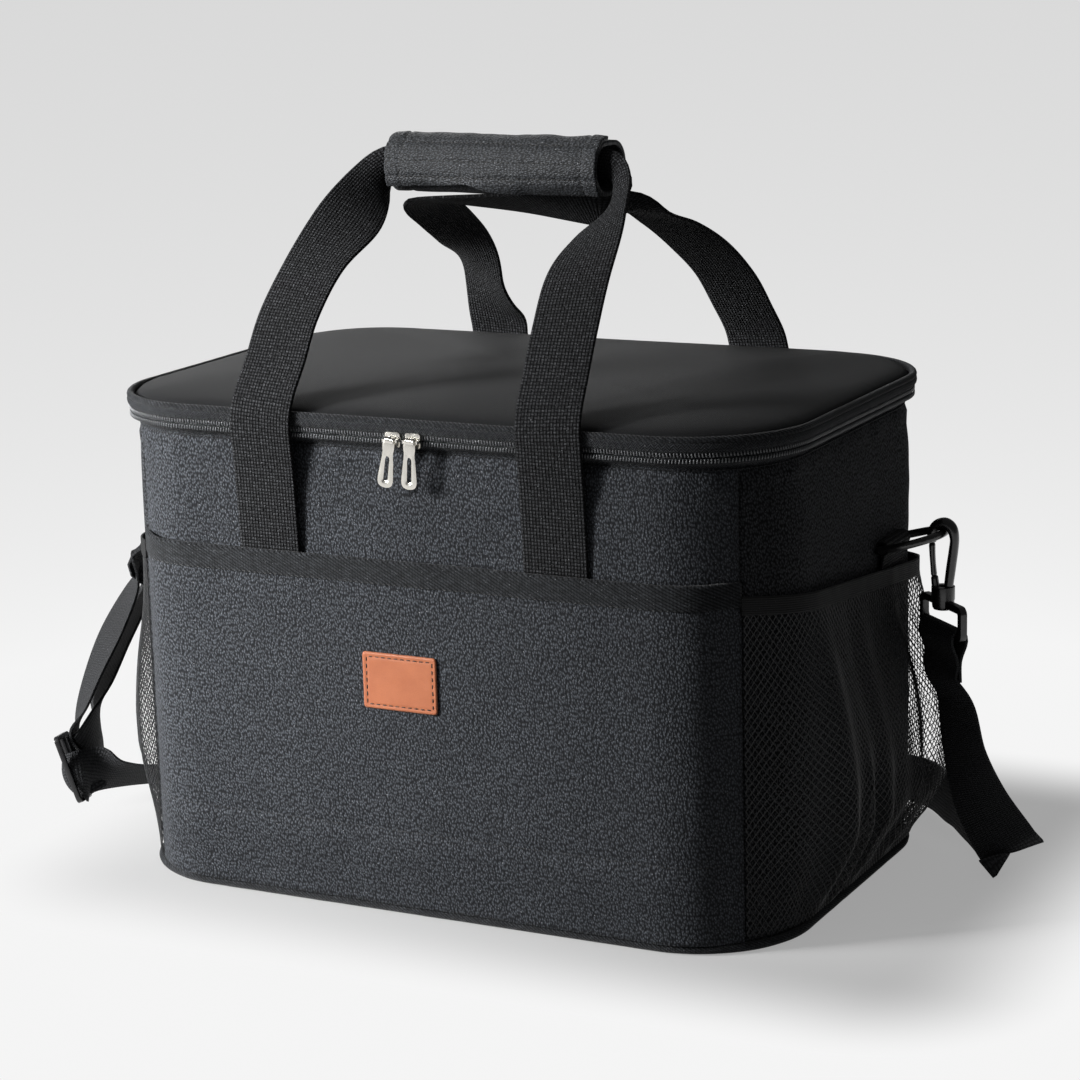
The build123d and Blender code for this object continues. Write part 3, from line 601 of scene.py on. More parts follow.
rim_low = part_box("rim_binding")[0]
rim_wide = 0.0075


def place(across, along):
    distance = across * plan_length
    return around(distance, -rim_wide + rim_wide * along, rim_low.z + 0.0005 * math.sin(math.pi * along) + 0.0001)


rim = cloth("rim_binding_tape", 240, 5, (plan_length, rim_wide), place, 0.0006)
finish(rim, piping_cloth, "binding", "bag", "rim_binding")


# Zip -------------------------------------------------------------------------
# A coil zip runs round the front and both sides: two herringbone tapes with a
# row of nylon coil on each. The lower tape is sewn to the walls, the upper one
# to the lid, and a cloth strip across the back makes the hinge.

herringbone, result, place, across, along = weave("herringbone")
zigzag = sums(herringbone, "PINGPONG", across, 1.0)
chevron = sums(herringbone, "ADD", sums(herringbone, "MULTIPLY", zigzag, 1.3), along)
woven(herringbone, result, place, ribs(herringbone, chevron), 0.9, 0.5)

tape_cloth = cloth_finish("tape_cloth", herringbone, (0.0018, 0.0015),
                          (0.004, 0.0044, 0.005), (0.070, 0.075, 0.084), 0.5, 0.0005, crisp=1.6, gloss_level=0.15)
# The coil's mid grey is far lighter than black nylon, so that each loop reads as a glint: a painted highlight.
painted_glint_coil = solid_finish("painted_glint_coil", (0.15, 0.155, 0.162), (0.06, 0.062, 0.066), 0.4, 700, 0.00005, coat=0.1)

coil_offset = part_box("zipper_coil_lower")[1].x - half_wide
coil_low, coil_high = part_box("zipper_coil_lower")[0].z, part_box("zipper_coil_upper")[1].z
coil_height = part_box("zipper_coil_lower")[1].z - coil_low
tape_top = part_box("zipper_tape_upper")[1].z
zip_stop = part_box("zipper_tape_upper")[1].y
turn = math.asin((zip_stop - (half_deep - corner_radius)) / corner_radius)
zip_end = plan_length / 4 + (half_deep - corner_radius) + corner_radius * turn
coil_pitch = 0.0017


def band(name, start, end, profile, rows, surface, slot, body, nodes, wall=0.0009, flutter=0.0):
    """A strip round the plan whose cross section is a smooth curve through (offset, height) points."""
    length = end - start
    reach = sum(math.dist(a, b) for a, b in zip(profile, profile[1:]))

    def place(across, along):
        distance = start + across * length
        spot = along * (len(profile) - 1)
        low = min(int(spot), len(profile) - 2)
        part = spot - low
        offset = profile[low][0] + (profile[low + 1][0] - profile[low][0]) * part
        height = profile[low][1] + (profile[low + 1][1] - profile[low][1]) * part
        offset += flutter * ripple(distance, along * 0.01, 0.016, 9.0)
        return around(distance, offset, height)

    piece = cloth(name, int(length / round_step), rows, (length, reach), place, wall)
    return finish(piece, surface, slot, body, *nodes)


band("zip_tape_below", -zip_end, zip_end,
     [(-0.0012, body_top - 0.004), (-0.0012, body_top - 0.001), (-0.0008, body_top + 0.0015),
      (0.0004, body_top + 0.0032), (0.0024, coil_low - 0.0014), (0.0040, coil_low - 0.0006),
      (0.0042, coil_low + 0.0004), (0.0042, coil_low + 0.0014), (0.0041, coil_low + 0.0024)],
     24, tape_cloth, "zip_tape", "bag", ["zipper_tape_lower"], flutter=0.0004)
band("zip_tape_above", -zip_end, zip_end,
     [(0.0041, coil_high - 0.0024), (0.0042, coil_high - 0.0012), (0.0044, coil_high - 0.0002),
      (0.0056, coil_high + 0.0006), (0.0065, coil_high + 0.0020), (0.0068, tape_top - 0.0010),
      (0.0066, tape_top + 0.0004), (0.0058, tape_top + 0.0014)],
     21, tape_cloth, "zip_tape", "lid", ["zipper_tape_upper"], flutter=0.0002)


def many(name, pattern, places):
    """One mesh of many copies of a small pattern, each at its own place, with the pattern removed."""
    points = [v.co.copy() for v in pattern.data.vertices]
    faces = [tuple(p.vertices) for p in pattern.data.polygons]
    vertices, polygons = [], []
    for count, spot in enumerate(places):
        vertices += [spot @ p for p in points]
        start = count * len(points)
        polygons += [tuple(start + i for i in face) for face in faces]
    mesh = bpy.data.meshes.new(name)
    mesh.from_pydata(vertices, [], polygons)
    mesh.polygons.foreach_set("use_smooth", [True] * len(polygons))
    piece = added(name, mesh)
    bpy.data.objects.remove(pattern)
    return piece


def capsule(name, radius, length):
    """A short round-ended bar along Z, for a coil's loop or a stitch."""
    bpy.ops.object.select_all(action="DESELECT")
    bpy.ops.mesh.primitive_cylinder_add(vertices=6, radius=radius, depth=length - radius, end_fill_type="NGON")
    piece = bpy.context.object
    piece.name = name
    bpy.ops.object.mode_set(mode="EDIT")
    bpy.ops.mesh.select_mode(type="FACE")
    bpy.ops.mesh.select_all(action="DESELECT")
    bpy.ops.object.mode_set(mode="OBJECT")
    for face in piece.data.polygons:
        face.select = abs(face.normal.z) > 0.9
    bpy.ops.object.mode_set(mode="EDIT")
    bpy.ops.mesh.inset(thickness=radius * 0.45, depth=radius * 0.5)
    bpy.ops.object.mode_set(mode="OBJECT")
    return piece


def upright(distance, offset, height, lean):
    """A frame at the wall: Z up, Y outwards, X along the wall."""
    x, y, out_x, out_y = plan(distance)
    spot = Matrix(((-out_y, out_x, 0, x + out_x * offset), (out_x, out_y, 0, y + out_y * offset),
                   (0, 0, 1, height), (0, 0, 0, 1)))
    return spot @ Matrix.Rotation(lean, 4, "Y")


teeth = int(2 * zip_end / coil_pitch)
for name, height, lean, body, node_name in (
        ("zip_coil_below", coil_low + coil_height / 2, 0.16, "bag", "zipper_coil_lower"),
        ("zip_coil_above", coil_high - coil_height / 2, -0.16, "lid", "zipper_coil_upper")):
    loop = capsule("coil_loop", 0.00045, coil_height + 0.0004)
    half_step = 0.5 if body == "lid" else 0.0
    spots = [upright(-zip_end + (i + half_step) * coil_pitch, coil_offset - 0.0001, height, lean) for i in range(teeth)]
    finish(many(name, loop, spots), painted_glint_coil, "zip_coil", body, node_name)

hinge_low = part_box("lid_hinge_strip")[0]
hinge_cloth = cloth_finish("hinge_cloth", twill, (0.0012, 0.0012),
                           (0.008, 0.0085, 0.009), (0.035, 0.037, 0.04), 0.2, 0.0002)
hinge = band("lid_hinge_cloth", zip_end + 0.0004, plan_length - zip_end - 0.0004,
             [(0.0004, hinge_low.z + 0.0005), (0.0016, body_top), (0.0044, body_top + 0.006), (0.0047, tape_top)],
             15, hinge_cloth, "zip_tape", "", ["lid_hinge_strip"], wall=0.0011)
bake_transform(hinge)


# Lid -------------------------------------------------------------------------
# One smooth matt panel over a sheet of foam, softly domed, sewn to the zip tape
# through a piped edge. The cloth dips to the seam just inside the piping.

lid_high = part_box("lid_panel")[1]
lid_piping_low, lid_piping_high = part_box("lid_piping")
lid_piping_radius = (lid_piping_high.z - lid_piping_low.z) / 2
lid_piping_offset = lid_piping_high.x - half_wide - lid_piping_radius
lid_edge = lid_high.x - half_wide

cord_round("lid_piping_cord", lid_piping_offset, lid_piping_high.z - lid_piping_radius, lid_piping_radius, 1.0,
           piping_cloth, "piping", "lid", "lid_piping")

matt_weave, result, place, across, along = weave("matt_weave")
warp, weft = ribs(matt_weave, across), ribs(matt_weave, along)
over = sums(matt_weave, "ADD", sums(matt_weave, "FLOOR", across), sums(matt_weave, "FLOOR", along))
over = sums(matt_weave, "PINGPONG", over, 1.0)
warp_up = sums(matt_weave, "MULTIPLY", warp, spread(matt_weave, weft, 0, 1, 0.55, 1.0))
weft_up = sums(matt_weave, "MULTIPLY", weft, spread(matt_weave, warp, 0, 1, 0.55, 1.0))
top = mixed(matt_weave, warp_up, over, weft_up, sums(matt_weave, "SUBTRACT", 1.0, over))
woven(matt_weave, result, place, top, 0.7, 0.45)

lid_cloth = cloth_finish("lid_cloth", matt_weave, (0.0007, 0.0007),
                         (0.0085, 0.0088, 0.0094), (0.019, 0.0198, 0.0212), 0.10, 0.00012, sheen=0.04, mottle=0.2,
                         gloss_level=0.18)


def inside(x, y, half_x, half_y, radius):
    """How far a point lies inside a rounded rectangle's edge."""
    a, b = abs(x) - (half_x - radius), abs(y) - (half_y - radius)
    return radius - math.hypot(max(a, 0), max(b, 0)) - min(max(a, b), 0)


lid_place = lay_flat(lid_high.x, lid_high.y, corner_radius + lid_edge)


def place(across, along):
    x, y = lid_place(across, along)
    depth = inside(x, y, lid_high.x, lid_high.y, corner_radius + lid_edge)
    swell = 1 - math.exp(-depth / 0.030)
    roll = 1 - math.exp(-depth / 0.0028)
    height = lid_piping_low.z + 0.0012 + 0.0030 * roll + (lid_high.z - lid_piping_low.z - 0.0045) * swell
    walk = math.atan2(y / lid_high.y, x / lid_high.x)
    height += 0.0004 * math.exp(-depth / 0.008) * ripple(walk * 0.25, 0, 0.010, 4.0)
    height += 0.0007 * swell * ripple(x, y, 0.09, 1.3)
    return Vector((x, y, height))


panel("lid_top_cloth", 120, 96, (2 * lid_high.x, 2 * lid_high.y), place, 0.0012,
      lid_cloth, "shell_fabric", "lid", "lid_panel")

foil_low, foil_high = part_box("lid_liner")
foil_corner = corner_radius - (half_wide - foil_high.x)
foil_place = lay_flat(foil_high.x, foil_high.y, foil_corner)


def place(across, along):
    x, y = foil_place(1 - across, along)
    depth = inside(x, y, foil_high.x, foil_high.y, foil_corner)
    rise = 0.45 * (1 - math.exp(-depth / 0.0020)) + 0.55 * (1 - math.exp(-depth / 0.035))
    crease = 0.0006 * ripple(x, y, 0.035, 6.1) + 0.0003 * ripple(x, y, 0.012, 2.4)
    return Vector((x, y, foil_low.z + 0.0004 + (foil_high.z - foil_low.z - 0.0022) * rise
                   + crease * ease(depth, 0.0, 0.01)))


panel("lid_foil_lining", 110, 88, (2 * foil_high.x, 2 * foil_high.y), place, 0.0005,
      liner_foil, "liner", "lid", "lid_liner")


# Front pocket ----------------------------------------------------------------
# A wide flat pocket of the same cloth, sewn into both front seams and along a
# line above the base, with its mouth turned over in a twill hem.

pocket_face = -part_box("front_pocket_panel")[0].y - half_deep
pocket_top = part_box("front_pocket_panel")[1].z - 0.0045
pocket_line = 0.050
hem_height = 0.0130


def pocket_offset(distance, height):
    seam = nearest_seam(distance)
    swell = ease(seam, -0.002, 0.030)
    low = ease(height, body_foot, pocket_line * 0.9)
    mouth = 1 - 0.12 * ease(height, 0.150, pocket_top)
    offset = 0.0006 + (pocket_face - 0.0006) * swell * (0.45 + 0.55 * low) * mouth
    offset -= 0.0009 * hump(height, pocket_line, 0.0022) * swell
    calm = ease(abs(distance - label_x) / 0.05 + abs(height - label_z) / 0.04, 1.0, 2.2)
    offset += 0.0008 * swell * calm * ripple(distance, height, 0.06, 11.0)
    offset += 0.0004 * swell * calm * ripple(distance, height, 0.022, 12.0)
    return offset


label_low, label_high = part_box("leather_label")
label_x, label_z = (label_low.x + label_high.x) / 2, (label_low.z + label_high.z) / 2


def place(across, along):
    distance = -seam_front + 2 * seam_front * across
    height = body_foot + (pocket_top - body_foot) * along
    return around(distance, pocket_offset(distance, height), height)


panel("front_pocket_cloth", 156, 76, (2 * seam_front, pocket_top - body_foot), place, 0.0010,
      shell_cloth, "shell_fabric", "bag", "front_pocket_panel")

hem_cloth = cloth_finish("hem_cloth", twill, (0.0034, 0.0019),
                         (0.004, 0.0044, 0.005), (0.062, 0.067, 0.075), 0.6, 0.0006, crisp=1.8, gloss_level=0.15)
hem_low = pocket_top - hem_height


def place(across, along):
    distance = -seam_front + 2 * seam_front * across
    turn_over = ease(along, 0.86, 1.0)
    height = hem_low + (pocket_top + 0.0004 - hem_low) * min(1.0, along / 0.93)
    proud = 0.0009 - 0.0030 * turn_over + 0.0002 * ripple(distance, along, 0.012, 6.0)
    return around(distance, pocket_offset(distance, min(height, pocket_top)) + proud, height)


panel("front_pocket_hem_tape", 156, 14, (2 * seam_front, hem_height + 0.002), place, 0.0007,
      hem_cloth, "binding", "bag", "front_pocket_hem")

thread_cotton = solid_finish("thread_cotton", (0.012, 0.0115, 0.011), (0.03, 0.028, 0.026), 0.55, 1500, 0.0001)
stitch = capsule("pocket_stitch", 0.00032, 0.0021)
stitch_pitch, stitch_margin = 0.0030, 0.006
spots = []
for i in range(int(2 * (seam_front - stitch_margin) / stitch_pitch)):
    distance = -seam_front + stitch_margin + i * stitch_pitch
    spots.append(upright(distance, pocket_offset(distance, pocket_line) - 0.0001, pocket_line, math.pi / 2))
finish(many("pocket_line_stitches", stitch, spots), thread_cotton, "thread", "bag")


# Label -----------------------------------------------------------------------
# A small tan leather patch, left blank, cut with round corners and sewn on with
# dark thread just inside its edge.

leather, tree = material("label_leather")
spot = node(tree, "ShaderNodeTexCoord").outputs["Object"]
pores = node(tree, "ShaderNodeTexVoronoi", {"Vector": spot, "Scale": 2600.0})
crease, stain = cloudy(tree, spot, 420.0, 5.0), cloudy(tree, spot, 60.0, 3.0)
hide = blend_colour(tree, spread(tree, stain, 0.3, 0.7), (0.40, 0.115, 0.042), (0.48, 0.150, 0.060))
hide = blend_colour(tree, spread(tree, pores.outputs["Distance"], 0.0, 0.5, 0.35, 0.0), hide, (0.22, 0.060, 0.025))
rough_height = sums(tree, "ADD", crease, sums(tree, "MULTIPLY", pores.outputs["Distance"], 0.5))
bump = node(tree, "ShaderNodeBump", {"Strength": 0.55, "Distance": 0.0002, "Height": rough_height})
shader = node(tree, "ShaderNodeBsdfPrincipled", {
    "Base Color": hide, "Roughness": spread(tree, crease, 0.3, 0.7, 0.42, 0.58),
    "Normal": bump.outputs[0], "Sheen Weight": 0.1})
node(tree, "ShaderNodeOutputMaterial", {"Surface": shader.outputs[0]})

label_corner = 0.002
label_inset = 0.0026
label_front = label_low.y
label_back = label_high.y


def eased_plate(name, half_x, half_z, radius, front, back, round_over):
    """An upright plate with round corners and a softly rounded front edge, centred on X and Z."""
    edge = lay_flat(half_x, half_z, radius)

    def place(across, along):
        x, z = edge(across, along)
        depth = inside(x, z, half_x, half_z, radius)
        fall = max(0.0, 1 - depth / round_over)
        groove = 0.00022 * hump(depth, label_inset, 0.0006)
        return Vector((x, front + round_over * 0.6 * (1 - math.sqrt(max(0.0, 1 - fall * fall))) + groove, z))

    piece = cloth(name, 64, 48, (2 * half_x, 2 * half_z), place)
    apply(piece, "SOLIDIFY", thickness=back - front - 0.0004, offset=-1.0)
    return piece


patch = eased_plate("leather_patch", (label_high.x - label_low.x) / 2, (label_high.z - label_low.z) / 2,
                    label_corner, label_front, label_back, 0.0010)
patch.data.transform(Matrix.Translation((label_x, 0, label_z)))
finish(patch, leather, "label_leather", "bag", "leather_label")

label_walk, label_length = track((label_high.x - label_low.x) / 2 - label_inset,
                                 (label_high.z - label_low.z) / 2 - label_inset, label_corner * 0.5)
stitch = capsule("label_stitch", 0.00034, 0.0023)
count = 34
spots = []
for i in range(count):
    x, z, out_x, out_z = label_walk((i + 0.5) * label_length / count)
    along = math.atan2(out_x, -out_z)
    spots.append(Matrix.Translation((label_x + x, label_front + 0.0001, label_z + z))
                 @ Matrix.Rotation(-along, 4, "Y") @ Matrix.Rotation(math.pi / 2, 4, "Y"))
label_thread = solid_finish("label_thread", (0.055, 0.025, 0.015), (0.03, 0.014, 0.009), 0.6, 1500, 0.0001)
finish(many("label_stitches", stitch, spots), label_thread, "thread", "bag", "label_stitching")


# Mesh side pockets -----------------------------------------------------------
# Loose polyester netting with diamond holes, sewn in at both corner seams and
# along the foot, gathered at the mouth by a band of ribbed elastic.

net_thread = solid_finish("net_thread", (0.006, 0.0064, 0.007), (0.020, 0.0215, 0.024), 0.38, 900, 0.0001)
mouth_front, mouth_back = 0.197, 0.168
binding_height = 0.010
net_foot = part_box("mesh_pocket_right")[0].z
cell_wide, cell_high = 0.0036, 0.0052
net_wire = 0.00065


def mouth_level(y):
    return mouth_front + (mouth_back - mouth_front) * (y + half_deep) / (2 * half_deep)


def net_offset(share, height, level):
    """How far the netting stands off: tight at the seams and mouth, full and folded below."""
    rise = max(0.0, min(1.0, (height - net_foot) / (level - net_foot)))
    belly = 0.0015 + 0.0225 * (ease(rise, -0.02, 0.30) - 0.78 * ease(rise, 0.38, 1.0))
    sides = ease(share, 0.0, 0.22) * ease(1 - share, 0.0, 0.12)
    gather = 1 - ease(rise, 0.05, 0.55)
    folds = 0.0032 * math.sin(share * 31 + 1.2 * math.sin(rise * 3)) + 0.0018 * math.sin(share * 57 + 2.0)
    folds *= (0.35 + 0.65 * gather) * (1 - 0.9 * ease(rise, 0.75, 0.98)) * ease(rise, 0.0, 0.12)
    folds += 0.0040 * ripple(share, rise * 0.5, 0.21, 8.0) * ease(rise, 0.0, 0.12) * (1 - ease(rise, 0.8, 1.0))
    pleat = hump(share - 0.31 - 0.05 * rise, 0, 0.020)
    pleat -= 0.7 * hump(share - 0.37 - 0.05 * rise, 0, 0.022)
    folds += 0.0065 * pleat * (1 - ease(rise, 0.12, 0.62)) * ease(rise, 0.0, 0.08)
    return max(0.0014, (belly + folds) * sides + 0.0012)


def netting(name, wide, high, place, level_at):
    """A cut of diamond netting: a grid turned to stand on its corners, trimmed to the cut and laid in place."""
    count = int(wide / cell_wide + high / cell_high) + 2
    bpy.ops.object.select_all(action="DESELECT")
    bpy.ops.mesh.primitive_grid_add(x_subdivisions=count, y_subdivisions=count, size=count)
    piece = bpy.context.object
    piece.name = name
    flat = [((v.co.x - v.co.y) * cell_wide / 2 + wide / 2, (v.co.x + v.co.y) * cell_high / 2 + high / 2)
            for v in piece.data.vertices]
    for vertex, (across, along) in zip(piece.data.vertices, flat):
        vertex.select = not (0 <= across <= wide and 0 <= along <= level_at(across))
        vertex.co = place(across, along) if not vertex.select else Vector((0, 0, 0))
    for edge in piece.data.edges:
        edge.select = False
    for face in piece.data.polygons:
        face.select = False
    bpy.ops.object.mode_set(mode="EDIT")
    bpy.ops.mesh.select_mode(type="VERT")
    bpy.ops.mesh.delete(type="VERT")
    bpy.ops.object.mode_set(mode="OBJECT")
    apply(piece, "WIREFRAME", thickness=net_wire, use_even_offset=False, use_boundary=True, use_replace=True)
    smooth(piece)
    return piece


elastic, result, place, across, along = weave("elastic")
face = mixed(elastic, ribs(elastic, along), 0.7, ribs(elastic, across), 0.3)
# The ribs' tone is their height, dark in the grooves between them: painted shade.
elastic.links.new(face, result["Height"])
elastic.links.new(face, result["Tone_with_painted_shade"])
elastic_band = cloth_finish("elastic_band", elastic, (0.0009, 0.0012),
                            (0.0065, 0.0066, 0.0068), (0.017, 0.0174, 0.018), 0.15, 0.0003, sheen=0.03,
                            gloss_level=0.2)


def side_pocket(side, start, end, mirrored):
    length = end - start
    high = mouth_front - net_foot

    def level_at(across):
        distance = start + across
        return mouth_level(plan(distance)[1]) - net_foot - 0.004

    def share_of(across):
        return (length - across) / length if mirrored else across / length

    def place_net(across, along):
        distance = start + across
        level = mouth_level(plan(distance)[1])
        return around(distance, net_offset(share_of(across), net_foot + along, level), net_foot + along)

    net = netting(f"side_net_{side}", length, high, place_net, level_at)
    finish(net, net_thread, "mesh", "bag", f"mesh_pocket_{side}")

    def place_band(across, along):
        distance = start + across * length
        level = mouth_level(plan(distance)[1])
        height = level - binding_height + binding_height * along
        share = share_of(across * length)
        proud = 0.0008 + 0.0003 * ripple(distance, along * 0.01, 0.008, 2.0)
        return around(distance, net_offset(share, level, level) + proud, height)

    panel(f"side_net_binding_{side}", 110, 8, (length, binding_height), place_band, 0.0010,
          elastic_band, "binding", "bag", f"mesh_binding_{side}")


side_pocket("right", *walls["right"][:2], False)
side_pocket("left", *walls["left"][:2], True)


# Handles ---------------------------------------------------------------------
# Two loops of coarse black webbing, each sewn flat to a wall at both ends. They
# bow out over the zip and lean in above the lid, where the front one curls round
# inside the wrap and the back one lies under it.

webbing_wide = 0.038
webbing_thick = 0.0018
handle_x = 0.088

webbing_cloth = cloth_finish("webbing_cloth", matt_weave, (0.0019, 0.0019),
                             (0.0035, 0.0036, 0.004), (0.108, 0.112, 0.120), 0.5, 0.0008, sheen=0.02, mottle=0.3,
                             crisp=2.4, gloss_level=0.15)


def smooth_line(points, share):
    """A Catmull-Rom curve through points of any length, from 0 to 1."""
    spot = share * (len(points) - 1)
    index = min(int(spot), len(points) - 2)
    part = spot - index
    before = points[max(index - 1, 0)]
    after = points[min(index + 2, len(points) - 1)]
    start, end = points[index], points[index + 1]
    return [0.5 * (2 * b + (c - a) * part + (2 * a - 5 * b + 4 * c - d) * part ** 2
                   + (3 * b - a - 3 * c + d) * part ** 3)
            for a, b, c, d in zip(before, start, end, after)]


def even_shares(points, steps):
    """Shares of a curve that are evenly spaced along it, and its length."""
    fine = 12 * len(points)
    line = [Vector(smooth_line(points, i / fine)[:3]) for i in range(fine + 1)]
    reach = [0.0]
    for a, b in zip(line, line[1:]):
        reach.append(reach[-1] + (b - a).length)
    shares, index = [], 0
    for step in range(steps + 1):
        goal = reach[-1] * step / steps
        while index < fine - 1 and reach[index + 1] < goal:
            index += 1
        part = (goal - reach[index]) / max(reach[index + 1] - reach[index], 1e-9)
        shares.append((index + part) / fine)
    return shares, reach[-1]


def round_edges(piece, width, segments, sharper_than, shade_under=50, **more):
    """Bevels the edges sharper than an angle in degrees, and shades the rest smooth."""
    limit = math.radians(sharper_than)
    apply(piece, "BEVEL", width=width, segments=segments, limit_method="ANGLE", angle_limit=limit, **more)
    bpy.ops.object.shade_smooth_by_angle(angle=math.radians(shade_under))


def webbing(name, stations, thick, step=0.004, columns=10):
    """Webbing along stations of (centre x, y, z, across x, y, z, width), curled round where it is half wide."""
    _, length = even_shares(stations, 8)
    rows = int(length / step)
    shares, length = even_shares(stations, rows)
    line = [smooth_line(stations, share) for share in shares]
    sections = []
    for index, values in enumerate(line):
        centre, side = Vector(values[:3]), Vector(values[3:6]).normalized()
        before, after = line[max(index - 1, 0)], line[min(index + 1, rows)]
        way = (Vector(after[:3]) - Vector(before[:3])).normalized()
        side = (side - way * side.dot(way)).normalized()
        sections.append((centre, side, side.cross(way), values[6]))

    def place(across, along):
        index = round(along * rows)
        centre, side, face, wide = sections[index]
        out = 2 * across - 1
        fold = ease(webbing_wide - wide, 0.004, 0.018)
        bend = max(fold * 1.95, 0.001)
        radius = min(wide / 2 + fold * (webbing_wide - wide) / 2, webbing_wide) / bend
        flat = radius * math.sin(out * bend)
        lift = radius * (math.cos(out * bend) - (1 + math.cos(bend)) / 2)
        point = centre + side * flat + face * (lift + thick / 2)
        point.z = max(point.z, thick + 0.0003)
        return point

    piece = cloth(name, columns, rows, (webbing_wide, length), place)
    apply(piece, "SOLIDIFY", thickness=thick, offset=-1.0)
    round_edges(piece, thick * 0.3, 2, 50)
    return piece, length


def mirrored(stations):
    return [(-x, y, z, -a, b, c, wide) for x, y, z, a, b, c, wide in reversed(stations)]


full = webbing_wide
folded = 0.020
over_zip = [(0, 0.0080, 0.262), (0, 0.0088, 0.272), (0.0006, 0.0084, 0.281), (0.0015, 0.0040, 0.292)]


def foot(sign, sewn):
    """Webbing sewn flat up the wall, then over the zip's bulge."""
    rises = [(0, proud, z) for proud, z in sewn] + over_zip
    return [(handle_x - inward, sign * (half_deep + proud), z, 1, 0, 0, full) for inward, proud, z in rises]


def handle(side, stations):
    piece, length = webbing(f"{side}_handle_strap", stations, webbing_thick)
    finish(piece, webbing_cloth, "webbing", "", f"{side}_handle_webbing", f"{side}_handle_end_left",
           f"{side}_handle_end_right")
    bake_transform(piece)


front_leg = foot(-1, [(0.0032, 0.192), (0.0040, 0.210), (0.0052, 0.230), (0.0064, 0.248)]) + [
    (0.0855, -0.1275, 0.306, 1, 0, 0, full),
    (0.0844, -0.1123, 0.3298, 1, 0, 0, full),
    (0.0811, -0.0883, 0.3547, 1, -0.05, 0.04, full),
    (0.0781, -0.0559, 0.3752, 0.9, -0.35, 0.27, full),
    (0.0778, -0.0300, 0.3905, 0.6, -0.64, 0.48, full * 0.78),
    (0.0715, -0.0165, 0.4025, 0.15, -0.77, 0.6, folded * 1.15),
    (0.052, -0.012, 0.4046, 0, -0.788, 0.615, folded),
]
handle("front", front_leg + [(0, -0.012, 0.4046, 0, -0.788, 0.615, folded)] + mirrored(front_leg))

back_leg = foot(1, [(0.0042, 0.196), (0.0046, 0.216), (0.0052, 0.232), (0.0064, 0.248)]) + [
    (0.0851, 0.1243, 0.307, 1, 0, 0, full),
    (0.0820, 0.1046, 0.3298, 1, 0, 0, full),
    (0.0779, 0.0770, 0.3501, 1, -0.1, 0.1, full),
    (0.0730, 0.0481, 0.3659, 0.85, -0.5, 0.2, full),
    (0.0670, 0.0224, 0.3760, 0.5, -0.85, 0.2, full),
    (0.0572, 0.006, 0.380, 0.2, -1, 0.1, full),
    (0.0452, -0.002, 0.381, 0, -1, 0.06, full),
]
back_middle = [
    (0.0582, 0.004, 0.378, 0.2, -0.8, 0.55, full),
    (0.0452, -0.002, 0.379, 0.05, -0.82, 0.57, full),
    (0, -0.004, 0.381, 0, -0.93, 0.36, full),
]
back_twist = [
    (-0.0452, -0.002, 0.381, 0, -0.98, 0.2, full * 0.9),
    (-0.0572, 0.006, 0.379, -0.25, -0.95, 0.1, full * 0.9),
    (-0.0662, 0.0224, 0.374, -0.6, -0.8, 0.0, full * 0.85),
    (-0.0722, 0.0481, 0.3639, -0.85, -0.5, -0.1, full * 0.85),
    (-0.0769, 0.0770, 0.3491, -0.9, 0.1, -0.2, full * 0.9),
    (-0.0815, 0.1046, 0.3298, -0.75, 0.6, -0.2, full * 0.95),
    (-0.0848, 0.1243, 0.3080, -0.85, 0.45, -0.1, full),
]
back_loop = back_leg[:-2] + back_middle + back_twist + mirrored(back_leg)[len(back_twist):]
handle("back", list(reversed(back_loop)))


# Handle wrap -----------------------------------------------------------------
# A padded sleeve of the shell cloth round the front handle, closed over its top
# by a flap with hook and loop tape. Its ends are hemmed and rows of stitching
# run along it.

wrap_low, wrap_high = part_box("handle_wrap")
wrap_y, wrap_z = (wrap_low.y + wrap_high.y) / 2, (wrap_low.z + wrap_high.z) / 2
wrap_half = wrap_high.x
wrap_corner = 0.0145
wrap_wall = 0.0026
wrap_walk, wrap_girth = track((wrap_high.y - wrap_low.y) / 2, (wrap_high.z - wrap_low.z) / 2, wrap_corner)
wrap_cloth = cloth_finish("wrap_cloth", grain_cloth, (0.0009, 0.0018),
                          (0.009, 0.0098, 0.011), (0.095, 0.104, 0.118), 0.9, 0.00026, sheen=0.05, rough=0.6, crisp=1.6,
                          gloss_level=0.35)


def wrap_point(x, girth, proud):
    """A point of the sleeve: girth runs from the middle of the underside towards the back and over."""
    y, z, out_y, out_z = wrap_walk(girth)
    return Vector((x, wrap_y + y + out_y * proud, wrap_z + z + out_z * proud))


def place(across, along):
    x = -wrap_half + 2 * wrap_half * along
    edge = wrap_half - abs(x)
    proud = -0.0006 * hump(edge, 0.009, 0.0015) + 0.0006 * ripple(x, across * wrap_girth, 0.02, 5.5)
    return wrap_point(x, across * wrap_girth, proud - 0.0004)


sleeve = cloth("handle_sleeve", 60, 56, (wrap_girth, 2 * wrap_half), place)
weld(sleeve)
apply(sleeve, "SOLIDIFY", thickness=wrap_wall, offset=-1.0)
smooth(sleeve)
finish(sleeve, wrap_cloth, "wrap_fabric", "front_handle", "handle_wrap")

flap_thick = 0.0022
flap_gap = 0.0004
front_mid = wrap_girth * 0.75
flap_start = wrap_girth / 2 + (wrap_high.y - wrap_corner - wrap_y) + 0.002
flap_end = front_mid + 0.0126
flap_sewn = 0.0036
stitch_rows = (0.008, 0.018, 0.026)


